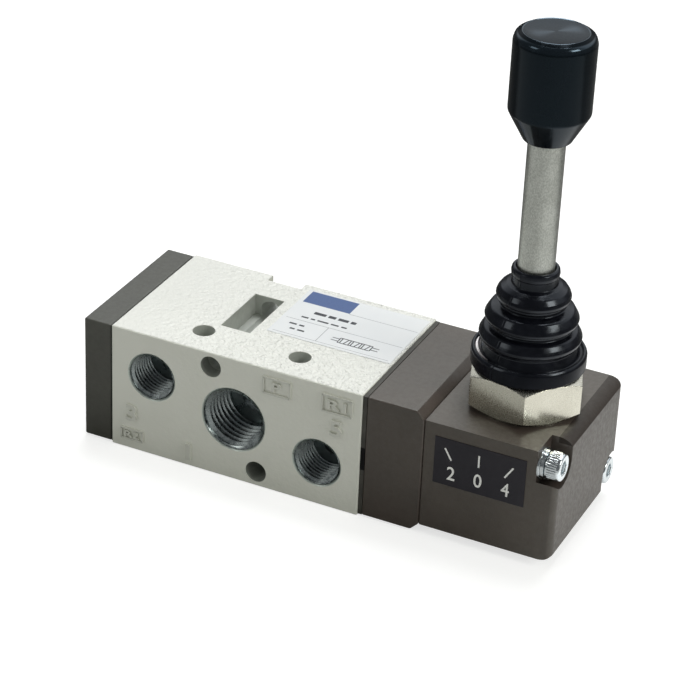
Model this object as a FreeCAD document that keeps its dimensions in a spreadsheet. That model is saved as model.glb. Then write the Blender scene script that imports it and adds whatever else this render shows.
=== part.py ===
import FreeCAD, Part
import os
import Sketcher

# Hand lever air valve: five ported die cast body, end cover, adapter, lever housing with a ball
# hinged lever, and a spool that the lever pushes through a slotted yoke.
# Millimetres. X runs along the spool towards the lever, Y from the front ports to the back ports,
# Z up. The origin is at the middle of the footprint, on the plane that the body stands on.

Vector = FreeCAD.Vector
doc = FreeCAD.newDocument("hand_lever_air_valve")

SIZES = {
    # die cast body
    "body_length": 54.4,
    "body_depth": 34.3,
    "body_height": 27.0,
    "body_edge": 0.2,
    "port_pitch": 18.2,
    "port_rise": 4.2,
    "large_thread_radius": 6.58,
    "small_thread_radius": 4.86,
    "large_thread_depth": 9.5,
    "small_thread_depth": 7.5,
    "mouth_bevel": 0.4,
    "large_passage_radius": 3.0,
    "small_passage_radius": 2.1,
    "passage_depth": 13.5,
    "spool_bore_radius": 5.6,
    "port_groove_radius": 6.5,
    "work_groove_width": 6.1,
    "exhaust_groove_width": 4.4,
    "mount_offset_along": 5.17,
    "mount_hole_inset": 3.14,
    "mount_hole_radius": 2.25,
    "top_hole_spacing": 21.0,
    "top_hole_inset": 7.06,
    "pocket_offset": 5.45,
    "pocket_width": 6.5,
    "pocket_inset": 10.6,
    "pocket_length": 14.9,
    "pocket_depth": 4.5,
    "notch_width": 7.5,
    "notch_length": 2.5,
    # end cover and gaskets
    "cover_length": 6.0,
    "cover_gasket_thickness": 0.3,
    "cover_inset": 0.25,
    "cover_edge": 0.35,
    "cover_recess_depth": 2.5,
    "cover_recess_clearance": 0.6,
    "adapter_gasket_thickness": 0.9,
    "gasket_edge_inset": 0.35,
    "vent_width": 4.9,
    "vent_depth": 3.0,
    "vent_low": 10.4,
    # adapter block
    "adapter_length": 11.8,
    "adapter_inset": 0.3,
    "adapter_bevel": 1.6,
    "adapter_edge": 0.2,
    "adapter_bore_radius": 6.4,
    "adapter_bore_depth": 8.2,
    "adapter_rod_clearance": 0.4,
    # lever housing
    "housing_length": 27.2,
    "housing_inset": 0.6,
    "housing_drop": 1.85,
    "housing_round": 3.7,
    "housing_round_reach": 2.8,
    "housing_corner_round": 1.3,
    "housing_edge": 0.2,
    "chamber_depth": 22.5,
    "lever_inset": 13.4,
    "ledge_hole_radius": 6.0,
    # screws, M3 with socket heads
    "screw_inset": 3.45,
    "sunk_screw_inset": 4.3,
    "screw_drop": 5.7,
    "adapter_screw_rise": 5.0,
    "screw_radius": 1.5,
    "thread_clearance": 0.02,
    "shank_clearance": 0.2,
    "head_radius": 2.75,
    "head_height": 3.0,
    "head_edge": 0.3,
    "head_clearance": 0.2,
    "hex_flats": 2.5,
    "hex_depth": 1.6,
    "washer_radius": 3.1,
    "washer_thickness": 0.5,
    "spring_washer_radius": 2.9,
    "spring_washer_thickness": 0.8,
    "spring_washer_gap": 0.5,
    "pocket_clearance": 0.9,
    "screw_grip": 7.5,
    "cover_screw_grip": 7.0,
    "adapter_screw_grip": 4.1,
    "tap_allowance": 0.6,
    # spool and its seals
    "running_clearance": 0.05,
    "spool_stem_radius": 3.4,
    "end_land_start": 16.9,
    "end_land_length": 7.7,
    "middle_land_half": 4.55,
    "seal_radius": 0.7,
    "seal_inset": 0.95,
    "rod_radius": 2.5,
    "rod_seal_length": 2.3,
    "seat_clearance": 0.05,
    # detent in the adapter
    "cage_length": 5.6,
    "cage_groove_width": 2.4,
    "ball_radius": 1.2,
    "ball_hole_clearance": 0.05,
    "ball_running_gap": 0.3,
    "detent_ring_width": 1.8,
    "detent_ring_thickness": 0.95,
    "detent_groove_depth": 0.4,
    "detent_groove_half_width": 0.75,
    # yoke that the lever pushes
    "yoke_seat_gap": 0.7,
    "yoke_chamber_gap": 0.55,
    "yoke_back": 8.0,
    "yoke_front": 5.0,
    "yoke_flat": 2.4,
    "yoke_flat_back": 3.6,
    "yoke_slot_floor": 2.5,
    "finger_gap": 0.3,
    "yoke_wall": 1.1,
    "yoke_pin_radius": 0.75,
    "yoke_pin_inset": 0.4,
    # lever
    "finger_length": 10.5,
    "ball_joint_radius": 5.6,
    "ball_joint_flat": 4.3,
    "finger_radius": 1.4,
    "finger_ball_radius": 1.9,
    "pivot_pin_radius": 1.25,
    "pivot_pin_end_gap": 0.45,
    "lever_stop_degrees": 15.0,
    "shaft_radius": 3.5,
    "shaft_length": 51.9,
    "spigot_radius": 2.0,
    "spigot_length": 2.7,
    "stud_radius": 2.6,
    "stud_length": 12.0,
    "stud_bevel": 0.4,
    # ball seat and hex gland nut
    "seat_wall": 1.95,
    "seat_gap": 0.3,
    "seat_lip_radius": 4.2,
    "seat_lip_height": 1.0,
    "seat_above_pivot": 1.35,
    "nut_flats": 21.0,
    "nut_turn_degrees": 50.0,
    "nut_height": 8.05,
    "nut_face_height": 0.4,
    "nut_face_radius": 10.2,
    "nut_bevel_height": 1.0,
    "nut_bevel_flat": 10.35,
    "nut_bore_radius": 7.2,
    "nut_socket_clearance": 0.05,
    "nut_thread_radius": 9.0,
    "nut_thread_length": 5.5,
    "nut_collar_radius": 8.3,
    "nut_collar_height": 2.0,
    "thread_relief": 0.2,
    # rubber boot
    "boot_wall": 1.2,
    "boot_base_radius": 10.98,
    "boot_base_height": 2.5,
    "boot_shoulder_height": 0.9,
    "boot_collar_radius": 4.57,
    "boot_collar_height": 3.3,
    "boot_top_above_nut": 20.4,
    "boot_rod_clearance": 0.1,
    "lip_low_radius": 9.78,
    "lip_low_height": 6.45,
    "lip_mid_radius": 8.93,
    "lip_mid_height": 10.3,
    "lip_high_radius": 7.1,
    "lip_high_height": 14.85,
    "lip_half_height": 0.55,
    "lip_round": 0.5,
    "shoulder_bulge": 0.4,
    "fold_low_radius": 8.9,
    "fold_low_height": 4.9,
    "fold_mid_radius": 7.7,
    "fold_mid_height": 9.1,
    "fold_high_radius": 6.1,
    "fold_high_height": 13.7,
    # knob
    "knob_radius": 7.63,
    "knob_height": 20.95,
    "knob_cone_height": 5.6,
    "knob_mouth_radius": 4.6,
    "knob_recess_depth": 0.6,
    "knob_recess_clearance": 0.05,
    "knob_top_round": 1.65,
    "knob_waist_round": 1.5,
    "knob_mouth_round": 0.3,
    "insert_radius": 4.0,
    "insert_length": 12.5,
    "insert_collar_radius": 4.6,
    "insert_collar_width": 1.6,
    # labels
    "label_thickness": 0.12,
    "position_label_length": 18.5,
    "position_label_height": 10.1,
    "position_label_inset": 2.4,
    "position_label_drop": 2.7,
    "rating_label_length": 26.6,
    "rating_label_depth": 19.2,
    "rating_label_end_inset": 0.5,
    "rating_label_front_inset": 13.2,
}

PLACES = {
    "overall_length": "cover_length + cover_gasket_thickness + body_length"
                      " + adapter_gasket_thickness + adapter_length + housing_length",
    "cover_start": "-overall_length / 2",
    "cover_gasket_start": "cover_start + cover_length",
    "body_start": "cover_gasket_start + cover_gasket_thickness",
    "body_middle": "body_start + body_length / 2",
    "body_end": "body_start + body_length",
    "adapter_start": "body_end + adapter_gasket_thickness",
    "housing_start": "adapter_start + adapter_length",
    "housing_end": "housing_start + housing_length",
    "front_face": "-body_depth / 2",
    "spool_height": "body_height / 2",
    "lever_place": "housing_start + lever_inset",
    "housing_top": "body_height - housing_drop",
    "housing_half_depth": "body_depth / 2 - housing_inset",
    "adapter_half_depth": "body_depth / 2 - adapter_inset",
    "cover_half_depth": "body_depth / 2 - cover_inset",
    "pivot_height": "spool_height + finger_length",
    "nut_top": "housing_top + nut_height",
    "screw_side": "body_depth / 2 - screw_inset",
    "sunk_side": "body_depth / 2 - sunk_screw_inset",
    "screw_height": "body_height - screw_drop",
    "mount_offset_up": "spool_height - mount_hole_inset",
    "screw_seat": "housing_end - head_height - washer_thickness - spring_washer_thickness",
    "screw_hole_radius": "screw_radius + shank_clearance",
    "tapped_radius": "screw_radius + thread_clearance",
    "screw_pocket_radius": "washer_radius + pocket_clearance",
    "stroke": "finger_length * lever_stop_degrees * pi / 180",
    "land_radius": "spool_bore_radius - running_clearance",
    "seal_ring_radius": "land_radius - seal_radius",
    "seal_groove_radius": "seal_ring_radius - seal_radius - thread_clearance",
    "rod_length": "lever_place - body_middle - yoke_half_slot - yoke_wall",
    "yoke_half_slot": "finger_ball_radius + finger_gap",
    "cage_start": "adapter_start + adapter_bore_depth - cage_length - seat_clearance",
    "cage_middle": "cage_start + cage_length / 2",
    "cage_outer_radius": "adapter_bore_radius - seat_clearance",
    "ball_circle_radius": "rod_radius + ball_running_gap + ball_radius",
    "ring_inner_radius": "ball_circle_radius + ball_radius + thread_clearance",
    "seat_inner_radius": "ball_joint_radius + seat_gap",
    "seat_outer_radius": "seat_inner_radius + seat_wall",
    "seat_floor": "pivot_height - ball_joint_radius",
    "yoke_radius": "finger_length - ball_joint_radius - yoke_seat_gap",
    "yoke_pin_length": "2 * (yoke_radius - yoke_pin_inset)",
    "chamber_radius": "yoke_radius + yoke_chamber_gap",
    "seat_top": "pivot_height + seat_above_pivot",
    "nut_socket_radius": "seat_outer_radius + nut_socket_clearance",
    "nut_corner_radius": "nut_flats / sqrt(3)",
    "pivot_pin_half_length": "seat_outer_radius - pivot_pin_end_gap",
    "shaft_start": "ball_joint_flat",
    "shaft_end": "shaft_start + shaft_length",
    "knob_start": "shaft_end - knob_recess_depth",
}

sheet = doc.addObject("Spreadsheet::Sheet", "Sizes")
row = 1
for alias, value in {**SIZES, **{name: "=" + text for name, text in PLACES.items()}}.items():
    sheet.set("A" + str(row), alias)
    sheet.set("B" + str(row), str(value))
    sheet.setAlias("B" + str(row), alias)
    row += 1
doc.recompute()

ALIASES = set(SIZES) | set(PLACES)


def bound(text):
    """Write a formula of plain size names as one that reads the spreadsheet."""
    words = []
    word = ""
    for letter in str(text) + " ":
        if letter.isalnum() or letter in "_.":
            word += letter
            continue
        if word:
            words.append("Sizes." + word if word in ALIASES else word)
            word = ""
        words.append(letter)
    return "".join(words).strip()


class Solid:
    """A PartDesign body whose features are all placed by formulas of the sizes."""

    def __init__(self, label, along="0", across="0", up="0"):
        self.label = label
        self.body = doc.addObject("PartDesign::Body", label)
        self.body.Label = label
        self.planes = {entry.Role: entry for entry in self.body.Origin.OriginFeatures}
        self.last = None
        place(self.body, along, across, up)

    def sketch(self, plane, offset):
        sketch = self.body.newObject("Sketcher::SketchObject", self.label + "_sketch")
        sketch.AttachmentSupport = [(self.planes[plane], "")]
        sketch.MapMode = "FlatFace"
        sketch.setExpression("AttachmentOffset.Base.z", bound(offset))
        return sketch

    def pinned(self, sketch, geometry, point, across, up):
        first = sketch.addConstraint(Sketcher.Constraint("DistanceX", -1, 1, geometry, point, 1.0))
        sketch.setExpression("Constraints[%d]" % first, bound(across))
        second = sketch.addConstraint(Sketcher.Constraint("DistanceY", -1, 1, geometry, point, 1.0))
        sketch.setExpression("Constraints[%d]" % second, bound(up))

    def outline(self, sketch, points):
        count = len(points)
        for number in range(count):
            start = Vector(number, number * number, 0)
            sketch.addGeometry(Part.LineSegment(start, start + Vector(1, 2 * number + 1, 0)), False)
        for number, (across, up) in enumerate(points):
            after = (number - 1) % count
            sketch.addConstraint(Sketcher.Constraint("Coincident", after, 2, number, 1))
            self.pinned(sketch, number, 1, across, up)

    def ring(self, sketch, across, up, radius):
        circle = Part.Circle(Vector(0, 0, 0), Vector(0, 0, 1), 1)
        number = sketch.addGeometry(circle, False)
        self.pinned(sketch, number, 3, across, up)
        size = sketch.addConstraint(Sketcher.Constraint("Radius", number, 1.0))
        sketch.setExpression("Constraints[%d]" % size, bound(radius))

    def sweep(self, kind, sketch, length):
        feature = self.body.newObject("PartDesign::" + kind, self.label + "_" + kind.lower())
        feature.Profile = sketch
        feature.SideType = "Symmetric"
        feature.setExpression("Length", bound(length))
        self.last = feature
        return self

    def plane_and_offset(self, axis, low, high):
        middle = "((%s) + (%s)) / 2" % (low, high)
        length = "(%s) - (%s)" % (high, low)
        if axis == "X":
            return "YZ_Plane", middle, length
        if axis == "Y":
            return "XZ_Plane", "-(%s)" % middle, length
        return "XY_Plane", middle, length

    def prism(self, kind, axis, low, high, points):
        plane, offset, length = self.plane_and_offset(axis, low, high)
        sketch = self.sketch(plane, offset)
        self.outline(sketch, points)
        return self.sweep(kind, sketch, length)

    def block(self, along, across, up, kind="Pad"):
        corners = [(along[0], across[0]), (along[1], across[0]),
                   (along[1], across[1]), (along[0], across[1])]
        return self.prism(kind, "Z", up[0], up[1], corners)

    def cut_block(self, along, across, up):
        return self.block(along, across, up, "Pocket")

    def disc(self, kind, axis, low, high, rings):
        plane, offset, length = self.plane_and_offset(axis, low, high)
        sketch = self.sketch(plane, offset)
        for across, up, radius in rings:
            self.ring(sketch, across, up, radius)
        return self.sweep(kind, sketch, length)

    def drill(self, axis, low, high, rings):
        return self.disc("Pocket", axis, low, high, rings)

    def turned(self, kind, points, axis="V_Axis"):
        sketch = self.sketch("XZ_Plane", "0")
        self.outline(sketch, points)
        feature = self.body.newObject("PartDesign::" + kind, self.label + "_" + kind.lower())
        feature.Profile = sketch
        feature.ReferenceAxis = (sketch, [axis])
        feature.Angle = 360
        self.last = feature
        return self

    def edged(self, kind, size, chosen=None):
        doc.recompute()
        feature = self.body.newObject("PartDesign::" + kind, self.label + "_" + kind.lower())
        if chosen is None:
            feature.Base = (self.last, [""])
            feature.UseAllEdges = True
        else:
            names = ["Edge%d" % (number + 1) for number, edge in enumerate(self.last.Shape.Edges)
                     if chosen(edge)]
            feature.Base = (self.last, names)
        property_name = "Radius" if kind == "Fillet" else "Size"
        feature.setExpression(property_name, bound(size))
        self.last = feature
        return self


def place(entry, along, across, up):
    entry.setExpression("Placement.Base.x", bound(along))
    entry.setExpression("Placement.Base.y", bound(across))
    entry.setExpression("Placement.Base.z", bound(up))


TURNS = {
    "X": FreeCAD.Rotation(Vector(0, 1, 0), 90),
    "Y": FreeCAD.Rotation(Vector(1, 0, 0), -90),
    "Z": FreeCAD.Rotation(),
}


def rod(name, axis, radius, length, along="0", across="0", up="0"):
    entry = doc.addObject("Part::Cylinder", name)
    entry.Placement = FreeCAD.Placement(Vector(0, 0, 0), TURNS[axis])
    entry.setExpression("Radius", bound(radius))
    entry.setExpression("Height", bound(length))
    place(entry, along, across, up)
    return entry


def brick(name, along, across, up):
    entry = doc.addObject("Part::Box", name)
    for side, (low, high) in zip(("Length", "Width", "Height"), (along, across, up)):
        entry.setExpression(side, bound("(%s) - (%s)" % (high, low)))
    place(entry, along[0], across[0], up[0])
    return entry


def joined(name, entries):
    entry = doc.addObject("Part::MultiFuse", name)
    entry.Shapes = entries
    return entry


def less(name, base, tool):
    entry = doc.addObject("Part::Cut", name)
    entry.Base = base
    entry.Tool = tool
    return entry


def group(name, entries):
    entry = doc.addObject("Part::Compound", name)
    entry.Links = entries
    return entry


def size_of(text):
    """Work out a formula of the sizes as a number, for choosing edges."""
    value = sheet.evalExpression(str(text))
    return float(getattr(value, "Value", value))


def five_ports():
    """Middle and groove width of each port, from port 3 through 2, 1 and 4 to port 5."""
    work = "work_groove_width"
    return [("-port_pitch", "exhaust_groove_width"), ("-port_pitch / 2", work), ("0", work),
            ("port_pitch / 2", work), ("port_pitch", "exhaust_groove_width")]


def opposite(side, height):
    """A screw place and the one half a turn about the spool away from it."""
    return [("-(%s)" % side, height), (side, "body_height - (%s)" % height)]


def valve_body():
    """Die cast block: spool bore, five ports, mounting holes, core pockets and screw holes."""
    solid = Solid("valve_body", along="body_middle")
    half = "body_length / 2"
    front = "-body_depth / 2"
    back = "body_depth / 2"
    solid.block(("-" + half, half), (front, back), ("0", "body_height"))
    solid.edged("Chamfer", "body_edge")
    solid.drill("X", "-" + half, half, [("0", "spool_height", "spool_bore_radius")])
    for middle, width in five_ports():
        solid.drill("X", "%s - %s / 2" % (middle, width), "%s + %s / 2" % (middle, width),
                    [("0", "spool_height", "port_groove_radius")])
    small = [("-port_pitch", "spool_height + port_rise"), ("port_pitch", "spool_height - port_rise")]
    large_back = [("-port_pitch / 2", "spool_height"), ("port_pitch / 2", "spool_height")]
    port_sets = [
        (front, 1, [("0", "spool_height")], "large"),
        (front, 1, small, "small"),
        (back, -1, large_back, "large"),
    ]
    for face, way, middles, kind in port_sets:
        thread = kind + "_thread_radius"
        sign = "+" if way > 0 else "-"
        for radius, depth in ((thread, kind + "_thread_depth"),
                              (kind + "_passage_radius", "passage_depth")):
            inner = "%s %s %s" % (face, sign, depth)
            low, high = (face, inner) if way > 0 else (inner, face)
            solid.drill("Y", low, high, [(x, z, radius) for x, z in middles])
        bevelled = [(size_of(x), size_of(z)) for x, z in middles]
        solid.edged("Chamfer", "mouth_bevel", mouth_edges(bevelled, thread, way))
    solid.drill("Y", front, back, [
        ("-mount_offset_along", "spool_height + mount_offset_up", "mount_hole_radius"),
        ("mount_offset_along", "spool_height - mount_offset_up", "mount_hole_radius")])
    top_row = "%s + top_hole_inset" % front
    solid.drill("Z", "0", "body_height", [
        ("-top_hole_spacing / 2", top_row, "mount_hole_radius"),
        ("top_hole_spacing / 2", top_row, "mount_hole_radius")])
    pocket_front = "%s + pocket_inset" % front
    levels = [("-pocket_offset", "body_height - pocket_depth", "body_height"),
              ("pocket_offset", "0", "pocket_depth")]
    for middle, low, high in levels:
        solid.cut_block((middle + " - pocket_width / 2", middle + " + pocket_width / 2"),
                        (pocket_front, pocket_front + " + pocket_length"), (low, high))
        solid.cut_block((middle + " - notch_width / 2", middle + " + notch_width / 2"),
                        (back + " - notch_length", back), (low, high))
    long_holes = [(y, z, "tapped_radius") for y, z in opposite("screw_side", "screw_height")]
    solid.drill("X", half + " - screw_grip - tap_allowance", half, long_holes)
    short_holes = [(y, z, "tapped_radius") for y, z in opposite("sunk_side", "adapter_screw_rise")]
    solid.drill("X", half + " - adapter_screw_grip - tap_allowance / 2", half, short_holes)
    cover_holes = [(y, z, "tapped_radius")
                   for y, z in opposite("sunk_side", "body_height - screw_height")]
    solid.drill("X", "-" + half, "-%s + cover_screw_grip + tap_allowance" % half, cover_holes)


def mouth_edges(middles, radius, way):
    """Choose the outer rims of ports that open to the front or to the back."""
    def chosen(edge):
        curve = edge.Curve
        if not isinstance(curve, Part.Circle) or abs(curve.Radius - size_of(radius)) > 0.01:
            return False
        face = -way * size_of("body_depth / 2")
        if abs(curve.Center.y - face) > 0.01:
            return False
        return any(abs(curve.Center.x - x) < 0.01 and abs(curve.Center.z - z) < 0.01
                   for x, z in middles)
    return chosen


def end_cover():
    """Plain cast cap with two counterbored screws and a breathing recess behind the spool."""
    solid = Solid("end_cover", along="cover_start")
    solid.block(("0", "cover_length"), ("-cover_half_depth", "cover_half_depth"),
                ("cover_inset", "body_height - cover_inset"))
    solid.edged("Fillet", "cover_edge")
    solid.drill("X", "cover_length - cover_recess_depth", "cover_length",
                [("0", "spool_height", "spool_bore_radius - cover_recess_clearance")])
    places = opposite("sunk_side", "body_height - screw_height")
    solid.drill("X", "0", "cover_length", [(y, z, "screw_hole_radius") for y, z in places])
    solid.drill("X", "0", "head_height + head_clearance",
                [(y, z, "head_radius + head_clearance") for y, z in places])


def gasket(label, start, thickness, places, vent):
    """Flat gasket with a bore for the spool and a hole for each screw."""
    solid = Solid(label, along=start)
    solid.block(("0", thickness), ("-body_depth / 2 + gasket_edge_inset",
                                   "body_depth / 2 - gasket_edge_inset"),
                ("gasket_edge_inset", "body_height - gasket_edge_inset"))
    holes = [(y, z, "screw_hole_radius") for y, z in places]
    solid.drill("X", "0", thickness, holes + [("0", "spool_height", "adapter_bore_radius")])
    if vent:
        solid.cut_block(("0", thickness), ("-body_depth / 2", "-body_depth / 2 + vent_depth"),
                        ("vent_low", "vent_low + vent_width"))


def adapter_block():
    """Cast block between body and housing, bored for the rod seal and the detent."""
    solid = Solid("adapter_block", along="adapter_start")
    low = "adapter_inset"
    high = "body_height - adapter_inset"
    outline = [("0", low), ("adapter_length - adapter_bevel", low),
               ("adapter_length", low + " + adapter_bevel"),
               ("adapter_length", high + " - adapter_bevel"),
               ("adapter_length - adapter_bevel", high), ("0", high)]
    solid.prism("Pad", "Y", "-adapter_half_depth", "adapter_half_depth", outline)
    solid.edged("Chamfer", "adapter_edge")
    solid.drill("X", "0", "adapter_bore_depth", [("0", "spool_height", "adapter_bore_radius")])
    solid.drill("X", "0", "adapter_length",
                [("0", "spool_height", "rod_radius + adapter_rod_clearance")])
    through = opposite("screw_side", "screw_height")
    short = opposite("sunk_side", "adapter_screw_rise")
    solid.drill("X", "0", "adapter_length", [(y, z, "screw_hole_radius") for y, z in through + short])
    solid.drill("X", "adapter_length - head_height - head_clearance", "adapter_length",
                [(y, z, "head_radius + head_clearance") for y, z in short])


def lever_housing():
    """Cast housing: rounded end, spool chamber, lever bore and two open screw pockets."""
    solid = Solid("lever_housing", along="housing_start")
    low = "housing_drop"
    high = "housing_top"
    end = "housing_length"
    whole = "housing_length + housing_round - housing_round_reach"
    outline = [("0", low), (whole, low), (whole, high), ("0", high)]
    solid.prism("Pad", "Y", "-housing_half_depth", "housing_half_depth", outline)
    solid.edged("Fillet", "housing_round", end_edges(whole))
    solid.cut_block((end, whole), ("-body_depth / 2", "body_depth / 2"), ("0", "body_height"))
    solid.edged("Fillet", "housing_corner_round", corner_edges(end))
    solid.edged("Chamfer", "housing_edge", start_edges())
    solid.drill("X", "0", "chamber_depth", [("0", "spool_height", "chamber_radius")])
    solid.drill("Z", "spool_height", high, [("lever_inset", "0", "ledge_hole_radius")])
    solid.drill("Z", "seat_floor", high, [("lever_inset", "0", "nut_socket_radius")])
    solid.drill("Z", "housing_top - nut_thread_length - thread_relief", high,
                [("lever_inset", "0", "nut_thread_radius + thread_clearance")])
    places = opposite("screw_side", "screw_height")
    solid.drill("X", "0", end, [(y, z, "screw_hole_radius") for y, z in places])
    seat = "screw_seat - housing_start"
    solid.drill("X", seat, end, [(y, z, "screw_pocket_radius") for y, z in places])
    reach = "body_depth / 2"
    solid.cut_block((seat, end), ("-" + reach, "-screw_side + screw_pocket_radius"),
                    ("screw_height", "body_height"))
    solid.cut_block((seat, end), ("screw_side - screw_pocket_radius", reach),
                    ("0", "body_height - screw_height"))


def end_edges(end):
    """Choose the two long edges across the outer end of the housing."""
    def chosen(edge):
        box = edge.BoundBox
        at_end = abs(box.XMin - size_of(end)) < 0.01 and box.XLength < 0.01
        return at_end and box.ZLength < 0.01
    return chosen


def corner_edges(end):
    """Choose the two upright edges at the outer end of the housing."""
    def chosen(edge):
        box = edge.BoundBox
        at_end = abs(box.XMin - size_of(end)) < 0.01 and box.XLength < 0.01
        return at_end and box.YLength < 0.01
    return chosen


def start_edges():
    """Choose the edges round the joint face of the housing."""
    def chosen(edge):
        box = edge.BoundBox
        return abs(box.XMin) < 0.01 and box.XLength < 0.01
    return chosen


def socket_screw(name, grip):
    """Socket head cap screw whose seat is at X 0, with the head towards plus X."""
    solid = Solid(name)
    points = [("-(%s)" % grip, "0"), ("-(%s)" % grip, "screw_radius - head_edge"),
              ("-(%s) + head_edge" % grip, "screw_radius"), ("0", "screw_radius"),
              ("0", "head_radius"), ("head_height - head_edge", "head_radius"),
              ("head_height", "head_radius - head_edge"), ("head_height", "0")]
    solid.turned("Revolution", points, "H_Axis")
    flat = "hex_flats / 2"
    corner = "hex_flats / sqrt(3)"
    corners = [("0", corner), ("-" + flat, corner + " / 2"), ("-" + flat, "-%s / 2" % corner),
               ("0", "-" + corner), (flat, "-%s / 2" % corner), (flat, corner + " / 2")]
    solid.prism("Pocket", "X", "head_height - hex_depth", "head_height", corners)
    return solid.body


def screws(label, grip, seat, places, turned_round=False):
    """Identical screws, each a link copy of one pattern screw at its own place."""
    pattern = socket_screw(label + "_pattern", grip)
    copies = []
    for number, (side, height) in enumerate(places):
        copy = doc.addObject("Part::Refine", "%s_%d" % (label, number + 1))
        copy.Source = pattern
        if turned_round:
            half_turn = FreeCAD.Rotation(Vector(0, 0, 1), 180)
            copy.Placement = FreeCAD.Placement(Vector(0, 0, 0), half_turn)
        place(copy, seat, side, height)
        copies.append(copy)
    group(label, copies)


def washers():
    """Flat washer and split spring washer under each long screw head."""
    flat = []
    split = []
    hole = "screw_hole_radius"
    for number, (side, height) in enumerate(opposite("screw_side", "screw_height")):
        mark = "_%d" % (number + 1)
        disc = rod("washer_disc" + mark, "X", "washer_radius", "washer_thickness",
                   "screw_seat", side, height)
        bore = rod("washer_bore" + mark, "X", hole, "washer_thickness", "screw_seat", side, height)
        flat.append(less("washer" + mark, disc, bore))
        start = "screw_seat + washer_thickness"
        thick = "spring_washer_thickness"
        disc = rod("spring_disc" + mark, "X", "spring_washer_radius", thick, start, side, height)
        bore = rod("spring_bore" + mark, "X", hole, thick, start, side, height)
        split_low = "(%s) + screw_radius / 2" % height
        gap = brick("spring_gap" + mark, (start, start + " + " + thick),
                    ("(%s) - spring_washer_gap / 2" % side, "(%s) + spring_washer_gap / 2" % side),
                    (split_low, "(%s) + washer_radius" % height))
        split.append(less("spring_washer" + mark, disc, joined("spring_cut" + mark, [bore, gap])))
    group("flat_washers", flat)
    group("spring_washers", split)


def lands():
    """Start and end of the three lands: the middle one shuts port 1 when the lever is upright."""
    end = "(end_land_start + end_land_length)"
    return [("-" + end, "-end_land_start"), ("-middle_land_half", "middle_land_half"),
            ("end_land_start", end)]


def seals():
    """Middle of the two rubber rings in each land."""
    return [(start + " + seal_inset", end + " - seal_inset") for start, end in lands()]


def land(start, end, rings):
    """Outline of one spool land with a groove for each of its rings."""
    points = [(start, "land_radius")]
    half = "(seal_radius + thread_clearance)"
    for middle in rings:
        for way, radii in (("-", ("land_radius", "seal_groove_radius")),
                           ("+", ("seal_groove_radius", "land_radius"))):
            points += [("%s %s %s" % (middle, way, half), radius) for radius in radii]
    points.append((end, "land_radius"))
    return points


def spool():
    """Turned spool with three sealed lands, and a rod with three detent grooves."""
    solid = Solid("spool", along="body_middle", up="spool_height")
    points = [(lands()[0][0], "0")]
    for number, (start, end) in enumerate(lands()):
        if number:
            points.append((start, "spool_stem_radius"))
        points += land(start, end, seals()[number])
        if number < 2:
            points.append((end, "spool_stem_radius"))
    points.append(("end_land_start + end_land_length", "rod_radius"))
    for step in ("-stroke", "0", "stroke"):
        middle = "cage_middle - body_middle + %s" % step
        points.append((middle + " - detent_groove_half_width", "rod_radius"))
        points.append((middle, "rod_radius - detent_groove_depth"))
        points.append((middle + " + detent_groove_half_width", "rod_radius"))
    points.append(("rod_length", "rod_radius"))
    points.append(("rod_length", "0"))
    solid.turned("Revolution", points, "H_Axis")
    pin = "lever_place - body_middle - yoke_back / 2 - (yoke_half_slot + yoke_wall) / 2"
    solid.drill("Z", "-yoke_radius", "yoke_radius", [(pin, "0", "yoke_pin_radius + thread_clearance")])


def spool_seals():
    """Rubber rings of the spool, two in each land."""
    rings = []
    middles = [middle for pair in seals() for middle in pair]
    for number, middle in enumerate(middles):
        ring = doc.addObject("Part::Torus", "spool_seal_%d" % (number + 1))
        ring.Placement = FreeCAD.Placement(Vector(0, 0, 0), TURNS["X"])
        ring.setExpression("Radius1", bound("seal_ring_radius"))
        ring.setExpression("Radius2", bound("seal_radius"))
        place(ring, "body_middle + " + middle, "0", "spool_height")
        rings.append(ring)
    group("spool_seals", rings)


def rod_seal():
    """Rubber seal round the rod where it leaves the body."""
    start = "cage_start - seat_clearance - rod_seal_length"
    ring = rod("rod_seal_ring", "X", "cage_outer_radius", "rod_seal_length", start, "0", "spool_height")
    bore = rod("rod_seal_bore", "X", "rod_radius + running_clearance", "rod_seal_length",
               start, "0", "spool_height")
    less("rod_seal", ring, bore)


def detent():
    """Cage, four balls and the elastic ring that presses them towards the rod grooves."""
    solid = Solid("detent_cage", along="cage_start", up="spool_height")
    half = "cage_groove_width / 2"
    middle = "cage_length / 2"
    inner = "rod_radius + adapter_rod_clearance"
    floor = "ball_circle_radius + ball_radius - 2 * ball_hole_clearance"
    points = [("0", inner), ("0", "cage_outer_radius"),
              ("%s - %s" % (middle, half), "cage_outer_radius"), ("%s - %s" % (middle, half), floor),
              ("%s + %s" % (middle, half), floor), ("%s + %s" % (middle, half), "cage_outer_radius"),
              ("cage_length", "cage_outer_radius"), ("cage_length", inner)]
    solid.turned("Revolution", points, "H_Axis")
    reach = "cage_outer_radius + ball_radius"
    hole = "ball_radius + ball_hole_clearance"
    solid.drill("Z", "-(%s)" % reach, reach, [(middle, "0", hole)])
    solid.drill("Y", "-(%s)" % reach, reach, [(middle, "0", hole)])
    balls = []
    for number, (side, up) in enumerate(((1, 0), (0, 1), (-1, 0), (0, -1))):
        ball = doc.addObject("Part::Sphere", "detent_ball_%d" % (number + 1))
        ball.setExpression("Radius", bound("ball_radius"))
        place(ball, "cage_middle", "%d * ball_circle_radius" % side,
              "spool_height + %d * ball_circle_radius" % up)
        balls.append(ball)
    group("detent_balls", balls)
    start = "cage_middle - detent_ring_width / 2"
    outer = rod("detent_ring_outer", "X", "ring_inner_radius + detent_ring_thickness",
                "detent_ring_width", start, "0", "spool_height")
    bore = rod("detent_ring_bore", "X", "ring_inner_radius", "detent_ring_width",
               start, "0", "spool_height")
    less("detent_ring", outer, bore)


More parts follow.
